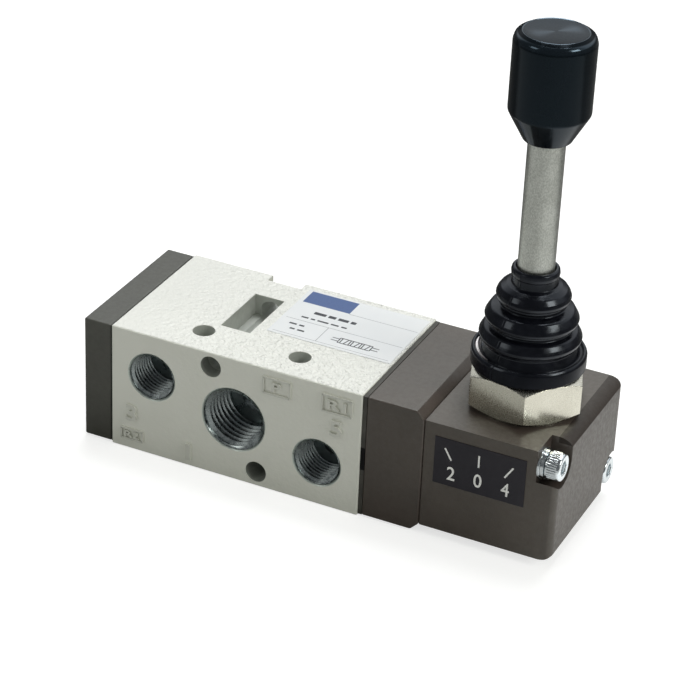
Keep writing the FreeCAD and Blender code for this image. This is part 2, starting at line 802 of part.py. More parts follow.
def spool_yoke():
    """Turned end piece, milled flat and slotted for the lever's finger, and its cross pin."""
    solid = Solid("spool_yoke", along="lever_place", up="spool_height")
    solid.disc("Pad", "X", "-yoke_back", "yoke_front", [("0", "0", "yoke_radius")])
    solid.drill("X", "-yoke_back", "-yoke_half_slot - yoke_wall + thread_clearance",
                [("0", "0", "rod_radius + thread_clearance")])
    solid.cut_block(("-yoke_flat_back", "yoke_front"), ("-yoke_radius", "yoke_radius"),
                    ("yoke_flat", "yoke_radius"))
    solid.cut_block(("-yoke_half_slot", "yoke_half_slot"), ("-yoke_radius", "yoke_radius"),
                    ("-yoke_slot_floor", "yoke_radius"))
    pin = "-yoke_back / 2 - (yoke_half_slot + yoke_wall) / 2"
    solid.drill("Z", "-yoke_radius", "yoke_radius", [(pin, "0", "yoke_pin_radius + thread_clearance")])
    rod("yoke_pin", "Z", "yoke_pin_radius", "yoke_pin_length",
        "lever_place " + pin, "0", "spool_height - yoke_pin_length / 2")


def lever_ball():
    """Ball that the lever turns on, with the finger that reaches down into the yoke."""
    ball = doc.addObject("Part::Sphere", "joint_ball")
    ball.setExpression("Radius", bound("ball_joint_radius"))
    place(ball, "lever_place", "0", "pivot_height")
    finger = rod("finger_shank", "Z", "finger_radius", "finger_length",
                 "lever_place", "0", "pivot_height - finger_length")
    tip = doc.addObject("Part::Sphere", "finger_tip")
    tip.setExpression("Radius", bound("finger_ball_radius"))
    place(tip, "lever_place", "0", "pivot_height - finger_length")
    whole = joined("ball_and_finger", [ball, finger, tip])
    reach = "ball_joint_radius"
    top = brick("ball_top_cut", ("lever_place - " + reach, "lever_place + " + reach),
                ("-" + reach, reach), ("pivot_height + ball_joint_flat", "pivot_height + " + reach))
    socket = rod("spigot_socket", "Z", "spigot_radius + thread_clearance",
                 "spigot_length + thread_clearance", "lever_place", "0",
                 "pivot_height + ball_joint_flat - spigot_length - thread_clearance")
    bore = rod("pivot_bore", "Y", "pivot_pin_radius + thread_clearance", "2 * ball_joint_radius",
               "lever_place", "-ball_joint_radius", "pivot_height")
    less("lever_ball", whole, joined("ball_cuts", [top, socket, bore]))
    rod("pivot_pin", "Y", "pivot_pin_radius", "2 * pivot_pin_half_length",
        "lever_place", "-pivot_pin_half_length", "pivot_height")


def pivot_seat():
    """Ring under the nut that holds the pivot pin's ends in two open notches."""
    solid = Solid("pivot_seat", along="lever_place")
    points = [("seat_lip_radius", "seat_floor"), ("seat_outer_radius", "seat_floor"),
              ("seat_outer_radius", "seat_top"), ("seat_inner_radius", "seat_top"),
              ("seat_inner_radius", "seat_floor + seat_lip_height"),
              ("seat_lip_radius", "seat_floor + seat_lip_height")]
    solid.turned("Revolution", points)
    notch = "pivot_pin_radius + running_clearance"
    solid.drill("Y", "-seat_outer_radius", "seat_outer_radius", [("0", "pivot_height", notch)])
    solid.cut_block(("-(%s)" % notch, notch), ("-seat_outer_radius", "seat_outer_radius"),
                    ("pivot_height", "seat_top"))


def gland_nut():
    """Hexagon nut with bevelled corners, a threaded skirt below and a collar for the boot."""
    lathe = Solid("nut_lathe")
    base = "housing_top"
    low_bevel = base + " + nut_face_height"
    outer = "nut_corner_radius + head_edge"
    skirt = base + " - nut_thread_length"
    shoulder = "seat_top + seat_clearance"
    collar = "nut_top + nut_collar_height"
    points = [
        ("nut_socket_radius", skirt),
        ("nut_thread_radius - stud_bevel", skirt),
        ("nut_thread_radius", skirt + " + stud_bevel"),
        ("nut_thread_radius", base),
        ("nut_face_radius", base),
        ("nut_face_radius", low_bevel),
        ("nut_bevel_flat", low_bevel),
        (outer, low_bevel + " + nut_bevel_height"),
        (outer, "nut_top - nut_bevel_height"),
        ("nut_bevel_flat", "nut_top"),
        ("nut_collar_radius", "nut_top"),
        ("nut_collar_radius", collar),
        ("nut_bore_radius", collar),
        ("nut_bore_radius", shoulder),
        ("nut_socket_radius", shoulder),
    ]
    lathe.turned("Revolution", points)
    prism = doc.addObject("Part::Prism", "nut_prism")
    prism.Polygon = 6
    turn = FreeCAD.Rotation(Vector(0, 0, 1), size_of("nut_turn_degrees"))
    prism.Placement = FreeCAD.Placement(Vector(0, 0, 0), turn)
    prism.setExpression("Circumradius", bound("nut_corner_radius"))
    prism.setExpression("Height", bound("nut_thread_length + nut_height + nut_collar_height"))
    place(prism, "0", "0", skirt)
    prism.setExpression("Placement.Rotation.Angle", bound("nut_turn_degrees"))
    nut = doc.addObject("Part::MultiCommon", "gland_nut")
    nut.Shapes = [lathe.body, prism]
    place(nut, "lever_place", "0", "0")


def boot():
    """Rubber bellows: a skirt on the nut, three rounded folds and a collar round the shaft."""
    solid = Solid("boot", along="lever_place", up="nut_top")
    inner = "boot_wall"
    lips = ["low", "mid", "high"]
    outside = [("boot_base_radius", "0"),
               ("boot_base_radius", "boot_base_height"),
               ("boot_base_radius - boot_shoulder_height", "boot_base_height + boot_shoulder_height")]
    inside = [("boot_base_radius - 2 * %s" % inner, "boot_base_height"),
              ("fold_low_radius - %s" % inner, "fold_low_height")]
    collar_low = "boot_top_above_nut - boot_collar_height"
    above = [("fold_mid_radius", "fold_mid_height"), ("fold_high_radius", "fold_high_height"),
             ("boot_collar_radius", collar_low)]
    for lip, (next_radius, next_height) in zip(lips, above):
        radius = "lip_%s_radius" % lip
        rim = "lip_%s_height + lip_half_height" % lip
        outside.append(("fold_%s_radius" % lip, "fold_%s_height" % lip))
        outside.append((radius, "lip_%s_height - lip_half_height" % lip))
        outside.append((radius, rim))
        outside.append(("(%s + %s) / 2 + shoulder_bulge" % (radius, next_radius),
                        "(%s + %s) / 2" % (rim, next_height)))
        if lip != "low":
            inside.append(("fold_%s_radius - %s" % (lip, inner), "fold_%s_height" % lip))
        inside.append(("%s - %s - lip_round" % (radius, inner), "lip_%s_height" % lip))
    outside += [("boot_collar_radius", collar_low), ("boot_collar_radius", "boot_top_above_nut")]
    hole = "shaft_radius + boot_rod_clearance"
    inside.append((hole, collar_low))
    mouth = "nut_collar_radius + thread_clearance"
    grip = [(mouth, "0"), (mouth, "nut_collar_height + thread_clearance")]
    points = outside + [(hole, "boot_top_above_nut")] + list(reversed(inside)) + list(reversed(grip))
    solid.turned("Revolution", points)
    rims = []
    for lip in lips:
        for way in ("-", "+"):
            rims.append(("lip_%s_radius" % lip, "lip_%s_height %s lip_half_height" % (lip, way)))
    rims.append(("boot_base_radius", "boot_base_height"))
    rims.append(("boot_collar_radius", "boot_top_above_nut"))
    choices = [circle_at(radius, height) for radius, height in rims]
    solid.edged("Fillet", "lip_round", lambda edge: any(choice(edge) for choice in choices))


def circle_at(radius, height):
    """Choose the circle with a radius and height given as formulas, about the Z axis."""
    def chosen(edge):
        curve = edge.Curve
        if not isinstance(curve, Part.Circle):
            return False
        same = abs(curve.Radius - size_of(radius)) < 0.01
        return same and abs(curve.Center.z - size_of(height)) < 0.01
    return chosen


def lever_rod():
    """Steel shaft with a spigot into the ball below and a threaded stud above."""
    solid = Solid("lever_rod", along="lever_place", up="pivot_height")
    points = [("0", "shaft_start - spigot_length"), ("spigot_radius", "shaft_start - spigot_length"),
              ("spigot_radius", "shaft_start"), ("shaft_radius", "shaft_start"),
              ("shaft_radius", "shaft_end - stud_bevel"), ("shaft_radius - stud_bevel", "shaft_end"),
              ("stud_radius", "shaft_end"), ("stud_radius", "shaft_end + stud_length - stud_bevel"),
              ("stud_radius - stud_bevel", "shaft_end + stud_length"),
              ("0", "shaft_end + stud_length")]
    solid.turned("Revolution", points)


def knob():
    """Turned plastic knob with a conical foot, moulded on a threaded brass insert."""
    solid = Solid("knob", along="lever_place", up="pivot_height")
    start = "knob_start"
    top = start + " + knob_height"
    recess = "shaft_radius + knob_recess_clearance"
    floor = "shaft_end + knob_recess_clearance"
    insert = "insert_radius + thread_clearance"
    collar = "insert_collar_radius + thread_clearance"
    gap = "thread_clearance"
    insert_top = "%s + insert_length + %s" % (floor, gap)
    collar_low = "%s + insert_length / 2 - insert_collar_width / 2 - %s" % (floor, gap)
    collar_high = "%s + insert_length / 2 + insert_collar_width / 2 + %s" % (floor, gap)
    points = [(recess, start), ("knob_mouth_radius", start),
              ("knob_radius", start + " + knob_cone_height"), ("knob_radius", top), ("0", top),
              ("0", insert_top), (insert, insert_top), (insert, collar_high), (collar, collar_high),
              (collar, collar_low), (insert, collar_low), (insert, floor), (recess, floor)]
    solid.turned("Revolution", points)
    solid.edged("Fillet", "knob_top_round", circle_at("knob_radius", top))
    solid.edged("Fillet", "knob_waist_round", circle_at("knob_radius", start + " + knob_cone_height"))
    solid.edged("Fillet", "knob_mouth_round", circle_at("knob_mouth_radius", start))
    brass = Solid("knob_insert", along="lever_place", up="pivot_height")
    bore = "stud_radius + thread_clearance"
    middle = "%s + insert_length / 2" % floor
    half = "insert_collar_width / 2"
    points = [(bore, floor), ("insert_radius", floor),
              ("insert_radius", "%s - %s" % (middle, half)),
              ("insert_collar_radius", "%s - %s" % (middle, half)),
              ("insert_collar_radius", "%s + %s" % (middle, half)),
              ("insert_radius", "%s + %s" % (middle, half)),
              ("insert_radius", floor + " + insert_length"), (bore, floor + " + insert_length")]
    brass.turned("Revolution", points)


def labels():
    """Position plate on the housing's front face and the rating label on the body's top."""
    front = "-housing_half_depth"
    start = "housing_start + position_label_inset"
    brick("position_label", (start, start + " + position_label_length"),
          (front + " - label_thickness", front),
          ("housing_top - position_label_drop - position_label_height",
           "housing_top - position_label_drop"))
    end = "body_end - rating_label_end_inset"
    near = "front_face + rating_label_front_inset"
    brick("rating_label", (end + " - rating_label_length", end),
          (near, near + " + rating_label_depth"),
          ("body_height", "body_height + label_thickness"))


valve_body()
end_cover()
cover_places = opposite("sunk_side", "body_height - screw_height")
long_places = opposite("screw_side", "screw_height")
short_places = opposite("sunk_side", "adapter_screw_rise")
gasket("cover_gasket", "cover_gasket_start", "cover_gasket_thickness", cover_places, False)
gasket("adapter_gasket", "body_end", "adapter_gasket_thickness", long_places + short_places, True)
adapter_block()
lever_housing()
sunk_head = "(head_height + head_clearance)"
cover_grip = "cover_length - %s + cover_gasket_thickness + cover_screw_grip" % sunk_head
screws("cover_screws", cover_grip, "cover_start + " + sunk_head, cover_places, True)
adapter_grip = "adapter_length - %s + adapter_gasket_thickness + adapter_screw_grip" % sunk_head
screws("adapter_screws", adapter_grip, "housing_start - " + sunk_head, short_places)
housing_grip = "housing_end - head_height - body_end + screw_grip"
screws("housing_screws", housing_grip, "housing_end - head_height", long_places)
washers()
spool()
spool_seals()
rod_seal()
detent()
spool_yoke()
lever_ball()
pivot_seat()
gland_nut()
boot()
lever_rod()
knob()
labels()

NODES = [
    "valve_body", "end_cover", "cover_gasket", "cover_screws", "adapter_gasket", "adapter_block",
    "adapter_screws", "rod_seal", "detent_cage", "detent_balls", "detent_ring", "spool",
    "spool_seals", "spool_yoke", "yoke_pin", "lever_housing", "housing_screws", "flat_washers",
    "spring_washers", "pivot_seat", "pivot_pin", "lever_ball", "gland_nut", "boot", "lever_rod",
    "knob", "knob_insert", "position_label", "rating_label",
]

doc.recompute()
for entry in doc.Objects:
    if "Invalid" in entry.State or "Error" in entry.State:
        raise RuntimeError("failed feature: %s %s" % (entry.Name, entry.State))

os.makedirs("parts", exist_ok=True)
for node in NODES:
    shape = doc.getObject(node).Shape
    if shape.isNull() or not shape.isValid() or shape.Volume < 0.01:
        raise RuntimeError("bad shape: " + node)
    shape.exportStep("parts/%s.step" % node)
    box = shape.BoundBox
    print("%-16s solids %d volume %9.1f  x %6.1f %6.1f  y %6.1f %6.1f  z %6.1f %6.1f" % (
        node, len(shape.Solids), shape.Volume, box.XMin, box.XMax, box.YMin, box.YMax,
        box.ZMin, box.ZMax))
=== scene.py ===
import bpy
import bmesh
import math
from mathutils import Matrix, Vector


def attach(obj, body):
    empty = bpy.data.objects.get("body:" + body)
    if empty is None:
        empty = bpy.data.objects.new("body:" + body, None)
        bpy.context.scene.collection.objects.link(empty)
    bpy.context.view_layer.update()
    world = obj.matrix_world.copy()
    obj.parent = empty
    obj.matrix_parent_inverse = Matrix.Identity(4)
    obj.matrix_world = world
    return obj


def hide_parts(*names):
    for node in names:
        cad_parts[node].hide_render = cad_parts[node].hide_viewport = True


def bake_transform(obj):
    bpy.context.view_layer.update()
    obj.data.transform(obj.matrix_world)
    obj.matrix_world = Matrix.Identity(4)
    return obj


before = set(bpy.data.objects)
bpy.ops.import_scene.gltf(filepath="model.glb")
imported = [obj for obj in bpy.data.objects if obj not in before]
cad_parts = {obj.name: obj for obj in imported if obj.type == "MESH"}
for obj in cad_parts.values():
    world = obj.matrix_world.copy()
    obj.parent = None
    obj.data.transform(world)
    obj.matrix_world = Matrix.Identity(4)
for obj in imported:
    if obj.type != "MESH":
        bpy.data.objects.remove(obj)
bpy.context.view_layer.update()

# Millimetres throughout, and metres only where a mesh, lamp or camera is made.
MM = 0.001

# Valve body: BODY_X is the middle of the port pattern.
BODY_X = -16.8
BODY_END = 10.4
FRONT = -17.15
BACK = 17.15
TOP = 27.0
SPOOL_Z = 13.5
BORE_RADIUS = 6.95
MOUTH_RING = 0.42
EXHAUST_PITCH = 18.2
EXHAUST_RISE = 4.2
WORKING_PITCH = 9.1

# Each port: name, place of its mouth, way out along Y, thread.
PORTS = [
    ("port_1", BODY_X, FRONT, SPOOL_Z, -1, "large"),
    ("port_3", BODY_X - EXHAUST_PITCH, FRONT, SPOOL_Z + EXHAUST_RISE, -1, "small"),
    ("port_5", BODY_X + EXHAUST_PITCH, FRONT, SPOOL_Z - EXHAUST_RISE, -1, "small"),
    ("port_2", BODY_X - WORKING_PITCH, BACK, SPOOL_Z, 1, "large"),
    ("port_4", BODY_X + WORKING_PITCH, BACK, SPOOL_Z, 1, "large"),
]
# Each thread: outer radius, inner radius, pitch, depth.
THREADS = {"large": (6.56, 5.74, 1.337, 9.4), "small": (4.84, 4.27, 0.907, 7.4)}

# Mounting holes and core pockets.
HOLE_EDGE = 2.31
SIDE_HOLES = [(BODY_X - 5.17, SPOOL_Z + 10.36), (BODY_X + 5.17, SPOOL_Z - 10.36)]
TOP_HOLES = [(BODY_X - 10.5, -10.09), (BODY_X + 10.5, -10.09)]
POCKET_NEAR, POCKET_FAR = 2.1, 8.8
POCKET_Y = (-6.65, 8.45)
COAT_EDGE = 0.12

# Ends of the valve and the screws in them, each screw as (y, z).
COVER_FACE = -50.3
COUNTERBORE = 3.2
COVER_SCREWS = [(-12.85, SPOOL_Z - 7.8), (12.85, SPOOL_Z + 7.8)]
HOUSING_FRONT = -16.55
HOUSING_END = 50.3
HOUSING_TOP = 25.15
WASHER_SEAT = 46.0
HOUSING_SCREWS = [(-13.7, SPOOL_Z + 7.8), (13.7, SPOOL_Z - 7.8)]
FLAT_WASHER = 0.5
SPRING_WASHER = 0.8
LABEL_THICKNESS = 0.12

# Lever, with its bellows and knob, about the line X = LEVER_X.
LEVER_X = 36.5
NUT_TOP = 33.2
SKIRT_TOP = 36.2
CROWN_Z = 100.23
CROWN_RADIUS = 5.78


# Materials: each is one Principled surface fed by textures of the position in millimetres.


class Finish:
    def __init__(self, name, colour, roughness, metallic=0.0):
        self.material = bpy.data.materials.new(name)
        self.material.use_nodes = True
        self.tree = self.material.node_tree
        self.surface = self.tree.nodes["Principled BSDF"]
        self.surface.inputs["Base Color"].default_value = (*colour, 1)
        self.surface.inputs["Roughness"].default_value = roughness
        self.surface.inputs["Metallic"].default_value = metallic
        where = self.node("ShaderNodeTexCoord")
        scaled = self.node("ShaderNodeVectorMath", operation="MULTIPLY")
        scaled.inputs[1].default_value = (1 / MM, 1 / MM, 1 / MM)
        self.tree.links.new(where.outputs["Object"], scaled.inputs[0])
        self.place = scaled.outputs[0]
        self.parts = None

    def node(self, kind, **settings):
        made = self.tree.nodes.new(kind)
        for name, value in settings.items():
            setattr(made, name, value)
        return made

    def feed(self, socket, value):
        """Links a socket to a socket, or sets it to a value."""
        if isinstance(value, bpy.types.NodeSocket):
            self.tree.links.new(value, socket)
        elif isinstance(value, (tuple, list)) and len(value) == 3 and socket.type == "RGBA":
            socket.default_value = (*value, 1)
        else:
            socket.default_value = value

    def set(self, name, value):
        self.feed(self.surface.inputs[name], value)

    def math(self, operation, first, second=0.0):
        made = self.node("ShaderNodeMath", operation=operation)
        self.feed(made.inputs[0], first)
        self.feed(made.inputs[1], second)
        return made.outputs[0]

    def times(self, first, second):
        return self.math("MULTIPLY", first, second)

    def plus(self, first, second):
        return self.math("ADD", first, second)

    def less(self, share):
        """What is left of 1 after a share of it."""
        return self.math("SUBTRACT", 1.0, share)

    def either(self, masks):
        """The largest of several masks."""
        result = masks[0]
        for mask in masks[1:]:
            result = self.math("MAXIMUM", result, mask)
        return result

    def axis(self, letter):
        if self.parts is None:
            self.parts = self.node("ShaderNodeSeparateXYZ")
            self.tree.links.new(self.place, self.parts.inputs[0])
        return self.parts.outputs[letter]

    def noise(self, size, detail=2.0, stretch=(1, 1, 1)):
        vector = self.place
        if stretch != (1, 1, 1):
            squeezed = self.node("ShaderNodeVectorMath", operation="DIVIDE")
            squeezed.inputs[1].default_value = stretch
            self.tree.links.new(self.place, squeezed.inputs[0])
            vector = squeezed.outputs[0]
        made = self.node("ShaderNodeTexNoise")
        self.tree.links.new(vector, made.inputs["Vector"])
        made.inputs["Scale"].default_value = 1 / size
        made.inputs["Detail"].default_value = detail
        return made.outputs["Fac"]

    def cells(self, size):
        made = self.node("ShaderNodeTexVoronoi", feature="SMOOTH_F1")
        self.tree.links.new(self.place, made.inputs["Vector"])
        made.inputs["Scale"].default_value = 1 / size
        return made.outputs["Distance"]

    def between(self, value, low, high, out_low=0.0, out_high=1.0):
        """A smooth step from out_low to out_high while the value goes from low to high."""
        made = self.node("ShaderNodeMapRange", interpolation_type="SMOOTHSTEP")
        for name, setting in (("Value", value), ("From Min", low), ("From Max", high),
                              ("To Min", out_low), ("To Max", out_high)):
            self.feed(made.inputs[name], setting)
        return made.outputs["Result"]

    def vary(self, grain, low, high):
        """The middle of a noise spread over a range."""
        return self.between(grain, 0.3, 0.7, low, high)

    def blend(self, factor, first, second):
        made = self.node("ShaderNodeMix", data_type="RGBA")
        self.feed(made.inputs[0], factor)
        self.feed(made.inputs[6], first)
        self.feed(made.inputs[7], second)
        return made.outputs[2]

    def radial(self, letters, centre):
        """Distance from a line, seen along it in the plane of two axes."""
        first = self.math("SUBTRACT", self.axis(letters[0]), centre[0])
        second = self.math("SUBTRACT", self.axis(letters[1]), centre[1])
        return self.math("SQRT", self.plus(self.times(first, first), self.times(second, second)))

    def disc(self, letters, centre, radius, soft=0.03):
        """1 inside a radius about a centre and 0 outside it."""
        return self.between(self.radial(letters, centre), radius - soft, radius + soft, 1.0, 0.0)

    def box(self, limits, soft=0.05):
        """1 inside a box of (axis, low, high) limits and 0 outside it."""
        result = None
        for letter, low, high in limits:
            rise = self.between(self.axis(letter), low - soft, low + soft)
            fall = self.between(self.axis(letter), high - soft, high + soft, 1.0, 0.0)
            part = self.times(rise, fall)
            result = part if result is None else self.times(result, part)
        return result

    def bump(self, height, depth, strength=1.0):
        """Relief of a depth in millimetres."""
        made = self.node("ShaderNodeBump")
        made.inputs["Distance"].default_value = depth * MM
        self.feed(made.inputs["Strength"], strength)
        self.feed(made.inputs["Height"], height)
        self.set("Normal", made.outputs["Normal"])


def cut_metal(finish):
    """1 in the ports, on the rings round their mouths and in the spool bore."""
    masks = [finish.disc("YZ", (0, SPOOL_Z), BORE_RADIUS, 0.05)]
    for _, x, _, z, way, kind in PORTS:
        ring = finish.disc("XZ", (x, z), THREADS[kind][0] + MOUTH_RING)
        side = finish.between(finish.times(finish.axis("Y"), float(way)), 4.5, 5.0)
        masks.append(finish.times(ring, side))
    return finish.either(masks)


def raw_casting(finish):
    """1 on the uncoated walls of the core pockets and the mounting holes."""
    low, high = COAT_EDGE, TOP - COAT_EDGE
    masks = [
        finish.box([("X", BODY_X - POCKET_FAR, BODY_X - POCKET_NEAR), ("Y", *POCKET_Y), ("Z", 22.3, high)]),
        finish.box([("X", BODY_X + POCKET_NEAR, BODY_X + POCKET_FAR), ("Y", *POCKET_Y), ("Z", low, 4.7)]),
    ]
    from_middle = finish.math("ABSOLUTE", finish.axis("Y"))
    for place in SIDE_HOLES:
        inside = finish.between(from_middle, BACK - 0.17, BACK - 0.07, 1.0, 0.0)
        masks.append(finish.times(finish.disc("XZ", place, HOLE_EDGE), inside))
    for place in TOP_HOLES:
        masks.append(finish.times(finish.disc("XY", place, HOLE_EDGE), finish.box([("Z", low, high)])))
    return finish.either(masks)


def white_coat():
    """White enamel over the die casting, pebbled on top, with the cut holes left bare; its top is painted
    paler than the sides, and paler again to the right, as painted light.
    """
    finish = Finish("white_coat", (0.80, 0.79, 0.75), 0.42)
    bare = cut_metal(finish)
    fleck = finish.noise(0.35, 2.0)
    along = finish.between(finish.axis("X"), -46.0, -8.0)
    top = finish.between(finish.axis("Z"), TOP - 0.12, TOP - 0.02)

    coat = finish.blend(finish.noise(9.0, 3.0), (0.765, 0.77, 0.70), (0.805, 0.81, 0.745))
    # Painted light: the top is paler than the sides, and paler again towards +X.
    painted_light_top = finish.blend(along, (0.865, 0.865, 0.835), (0.975, 0.975, 0.94))
    coat = finish.blend(finish.times(top, 0.75), coat, painted_light_top)
    coat = finish.blend(finish.between(fleck, 0.66, 0.78, 0.0, 0.22), coat, (0.62, 0.62, 0.57))

    # Bare metal in the bore and ports, dark inside as painted shade; the ring at each mouth is paler and less
    # metallic, partly the bare chamfer and partly a painted highlight.
    metal = finish.blend(fleck, (0.36, 0.41, 0.41), (0.46, 0.51, 0.51))
    mouth = finish.between(finish.math("ABSOLUTE", finish.axis("Y")), BACK - 0.80, BACK - 0.65)
    metal = finish.blend(mouth, metal, finish.blend(fleck, (0.54, 0.60, 0.56), (0.66, 0.71, 0.67)))

    cast = finish.blend(finish.noise(0.8, 3.0), (0.26, 0.27, 0.25), (0.36, 0.38, 0.35))
    wall = finish.blend(finish.noise(1.6, 3.0), (0.42, 0.44, 0.41), (0.56, 0.58, 0.54))
    upper = finish.box([("Z", 18.0, TOP - 0.05), ("Y", -14.0, BACK + 0.05)])
    coat = finish.blend(raw_casting(finish), coat, finish.blend(upper, cast, wall))
    finish.set("Base Color", finish.blend(bare, coat, metal))

    finish.set("Metallic", finish.times(bare, finish.less(finish.times(mouth, 0.7))))
    rough = finish.vary(finish.noise(1.4, 3.0), 0.30, 0.46)
    finish.set("Roughness", finish.math("SUBTRACT", rough, finish.times(bare, 0.04)))

    peel = finish.plus(finish.cells(0.95), finish.times(finish.noise(0.48, 2.0), 0.95))
    strength = finish.times(finish.plus(0.16, finish.times(top, 0.84)), finish.less(bare))
    coarse = finish.plus(0.32, finish.times(along, 0.68))
    finish.bump(peel, 0.50, finish.times(strength, coarse))
    return finish.material


def brown_coat(name, base, shaded_edge=None, tint=(0.93, 1.0, 0.93)):
    """Fine textured dark brown enamel over a die casting, with painted shade and less gloss over an edge
    band.
    """
    finish = Finish(name, base, 0.45)
    coat = finish.blend(finish.noise(7.0, 3.0), tuple(0.80 * value for value in base),
                        tuple(1.28 * value for value in base))
    specks = finish.between(finish.noise(0.22, 2.0), 0.60, 0.80, 0.0, 0.5)
    coat = finish.blend(specks, coat, tuple(1.9 * value for value in base))
    gloss = 0.89
    if shaded_edge:
        # Painted shade: the edge band is darkened, and its gloss lowered.
        band = finish.box(shaded_edge, 0.04)
        coat = finish.blend(finish.times(band, 0.6), coat, tuple(0.25 * value for value in base))
        gloss = finish.math("SUBTRACT", gloss, finish.times(band, 0.55))
    finish.set("Base Color", coat)
    finish.set("Roughness", finish.vary(finish.noise(0.9, 3.0), 0.40, 0.54))
    grain = finish.plus(finish.noise(0.26, 3.0), finish.times(finish.noise(1.1), 0.3))
    finish.bump(grain, 0.040, 0.85)
    finish.set("Specular IOR Level", gloss)
    finish.set("Specular Tint", tint)
    return finish.material


def metal(name, dark, light, roughness, grain=(1, 1, 1), grain_size=0.25, depth=0.01, spread=0.12):
    """Bare or plated metal with a fine grain that runs along the longest stretch."""
    finish = Finish(name, light, roughness, 1.0)
    fine = finish.noise(grain_size, 4.0, grain)
    tone = finish.plus(finish.times(fine, 0.7), finish.times(finish.noise(5.0, 3.0), 0.3))
    finish.set("Base Color", finish.blend(finish.vary(tone, 0.0, 1.0), dark, light))
    finish.set("Roughness", finish.vary(fine, roughness - spread / 2, roughness + spread / 2))
    finish.bump(fine, depth, 0.7)
    return finish.material


def rubber(name, colour, roughness, size=0.4, depth=0.012, skirt=None):
    """Moulded rubber: faint mottling and a slight skin texture, duller below a skirt's height."""
    finish = Finish(name, colour, roughness)
    if skirt:
        gloss = finish.between(finish.axis("Z"), skirt - 0.3, skirt + 0.2, 0.12, 0.40)
        finish.set("Specular IOR Level", gloss)
        finish.set("Specular Tint", (0.82, 0.90, 1.0))
    mottle = finish.between(finish.noise(2.6, 3.0), 0.35, 0.75)
    dusty = tuple(1.7 * value + 0.0015 for value in colour)
    finish.set("Base Color", finish.blend(mottle, colour, dusty))
    finish.set("Roughness", finish.vary(finish.noise(1.3, 4.0), roughness - 0.05, roughness + 0.10))
    finish.bump(finish.noise(size, 3.0), depth, 0.8)
    return finish.material


def knob_gloss():
    """Polished phenolic: a turned crown, a bright line round it and a glossy shoulder below."""
    finish = Finish("knob_gloss", (0.008, 0.010, 0.013), 0.14)
    height = finish.axis("Z")
    radius = finish.radial("XY", (LEVER_X, 0.0))
    flat = finish.between(height, CROWN_Z - 0.03, CROWN_Z + 0.03)
    crown = finish.times(flat, finish.between(radius, CROWN_RADIUS - 0.04, CROWN_RADIUS + 0.04, 1.0, 0.0))
    ring = finish.times(finish.between(radius, 5.80, 5.86), finish.between(radius, 6.06, 6.16, 1.0, 0.0))
    rim = finish.times(flat, ring)
    rounding = (CROWN_Z - 0.28, CROWN_Z - 0.11)
    shoulder = finish.times(finish.between(height, 98.7, 99.1), finish.between(height, *rounding, 1.0, 0.0))
    slope = finish.times(finish.between(height, *rounding), finish.less(finish.either([crown, rim])))

    finish.set("Base Color", finish.blend(finish.noise(3.0, 3.0), (0.003, 0.0045, 0.0060),
                                          (0.005, 0.0075, 0.0100)))
    hair = finish.noise(0.5, 3.0, (1, 1, 14))
    rough = finish.between(hair, 0.35, 0.75, 0.12, 0.20)
    finish.set("Roughness", finish.plus(rough, finish.times(crown, 0.16)))

    # Turning marks: fine rings on the crown as relief; the two bright fan-shaped bands are a painted
    # highlight in the gloss, fixed on the crown.
    turning = finish.times(finish.math("SINE", finish.times(radius, 21.0)), crown)
    wave = finish.plus(finish.times(finish.noise(0.16, 1.0), 0.3), finish.times(turning, 0.25))
    finish.bump(wave, 0.003, 0.6)
    slant = finish.plus(finish.math("SUBTRACT", finish.axis("X"), LEVER_X), finish.axis("Y"))
    slant = finish.math("DIVIDE", slant, finish.math("MAXIMUM", radius, 0.4))
    painted_fan_highlight = finish.times(finish.math("ABSOLUTE", slant), math.sqrt(0.5))
    painted_fan_highlight = finish.times(finish.math("POWER", painted_fan_highlight, 14.0), finish.between(radius, 5.6, 3.4))

    edge = finish.node("ShaderNodeLayerWeight")
    edge.inputs["Blend"].default_value = 0.5
    gloss = finish.between(edge.outputs["Facing"], 0.45, 0.90, 0.27, 0.24)
    gloss = finish.plus(gloss, finish.times(shoulder, 0.55))
    gloss = finish.times(gloss, finish.less(finish.times(slope, 0.85)))
    gloss = finish.plus(gloss, finish.times(rim, 0.9))
    crown_painted_gloss = finish.plus(0.06, finish.times(painted_fan_highlight, 0.75))
    finish.set("Specular IOR Level", finish.plus(gloss, finish.times(crown, crown_painted_gloss)))
    finish.set("Specular Tint", (0.58, 0.80, 1.0))
    return finish.material


def film(name, colour, roughness, speckle=0.04):
    """Printed plastic film or a thin coat, faintly speckled towards a paler tone."""
    finish = Finish(name, colour, roughness)
    paler = tuple(value + speckle * (0.5 if value > 0.3 else 0.15) for value in colour)
    finish.set("Base Color", finish.blend(finish.noise(0.25, 2.0), colour, paler))
    finish.set("Roughness", finish.vary(finish.noise(1.6, 2.0), roughness - 0.05, roughness + 0.06))
    finish.bump(finish.noise(0.9, 2.0), 0.012, 0.5)
    return finish.material


def foil_label():
    """Pale foil label: a cool sheen, a blue block and thin ruled lines."""
    finish = Finish("foil_label", (0.80, 0.82, 0.83), 0.32)
    left, block_right, right = -15.8, -5.4, 9.5
    colour = finish.blend(finish.noise(4.0, 2.0), (0.80, 0.82, 0.845), (0.86, 0.87, 0.88))
    blue = finish.blend(finish.noise(0.5, 2.0), (0.050, 0.100, 0.270), (0.070, 0.130, 0.310))
    block = finish.box([("X", left, block_right), ("Y", 10.0, 14.75)])
    colour = finish.blend(block, colour, blue)
    half = 0.07
    lines = [
        ((block_right, right), (9.85 - half, 9.85 + half)),
        ((left, right), (2.85 - half, 2.85 + half)),
        ((left, 9.2), (-3.15 - half, -3.15 + half)),
        ((-6.5 - half, -6.5 + half), (-3.15, 2.85)),
    ]
    for across, up in lines:
        line = finish.box([("X", *across), ("Y", *up)], 0.02)
        colour = finish.blend(finish.times(line, 0.7), colour, (0.16, 0.17, 0.19))
    finish.set("Base Color", colour)
    return finish.material


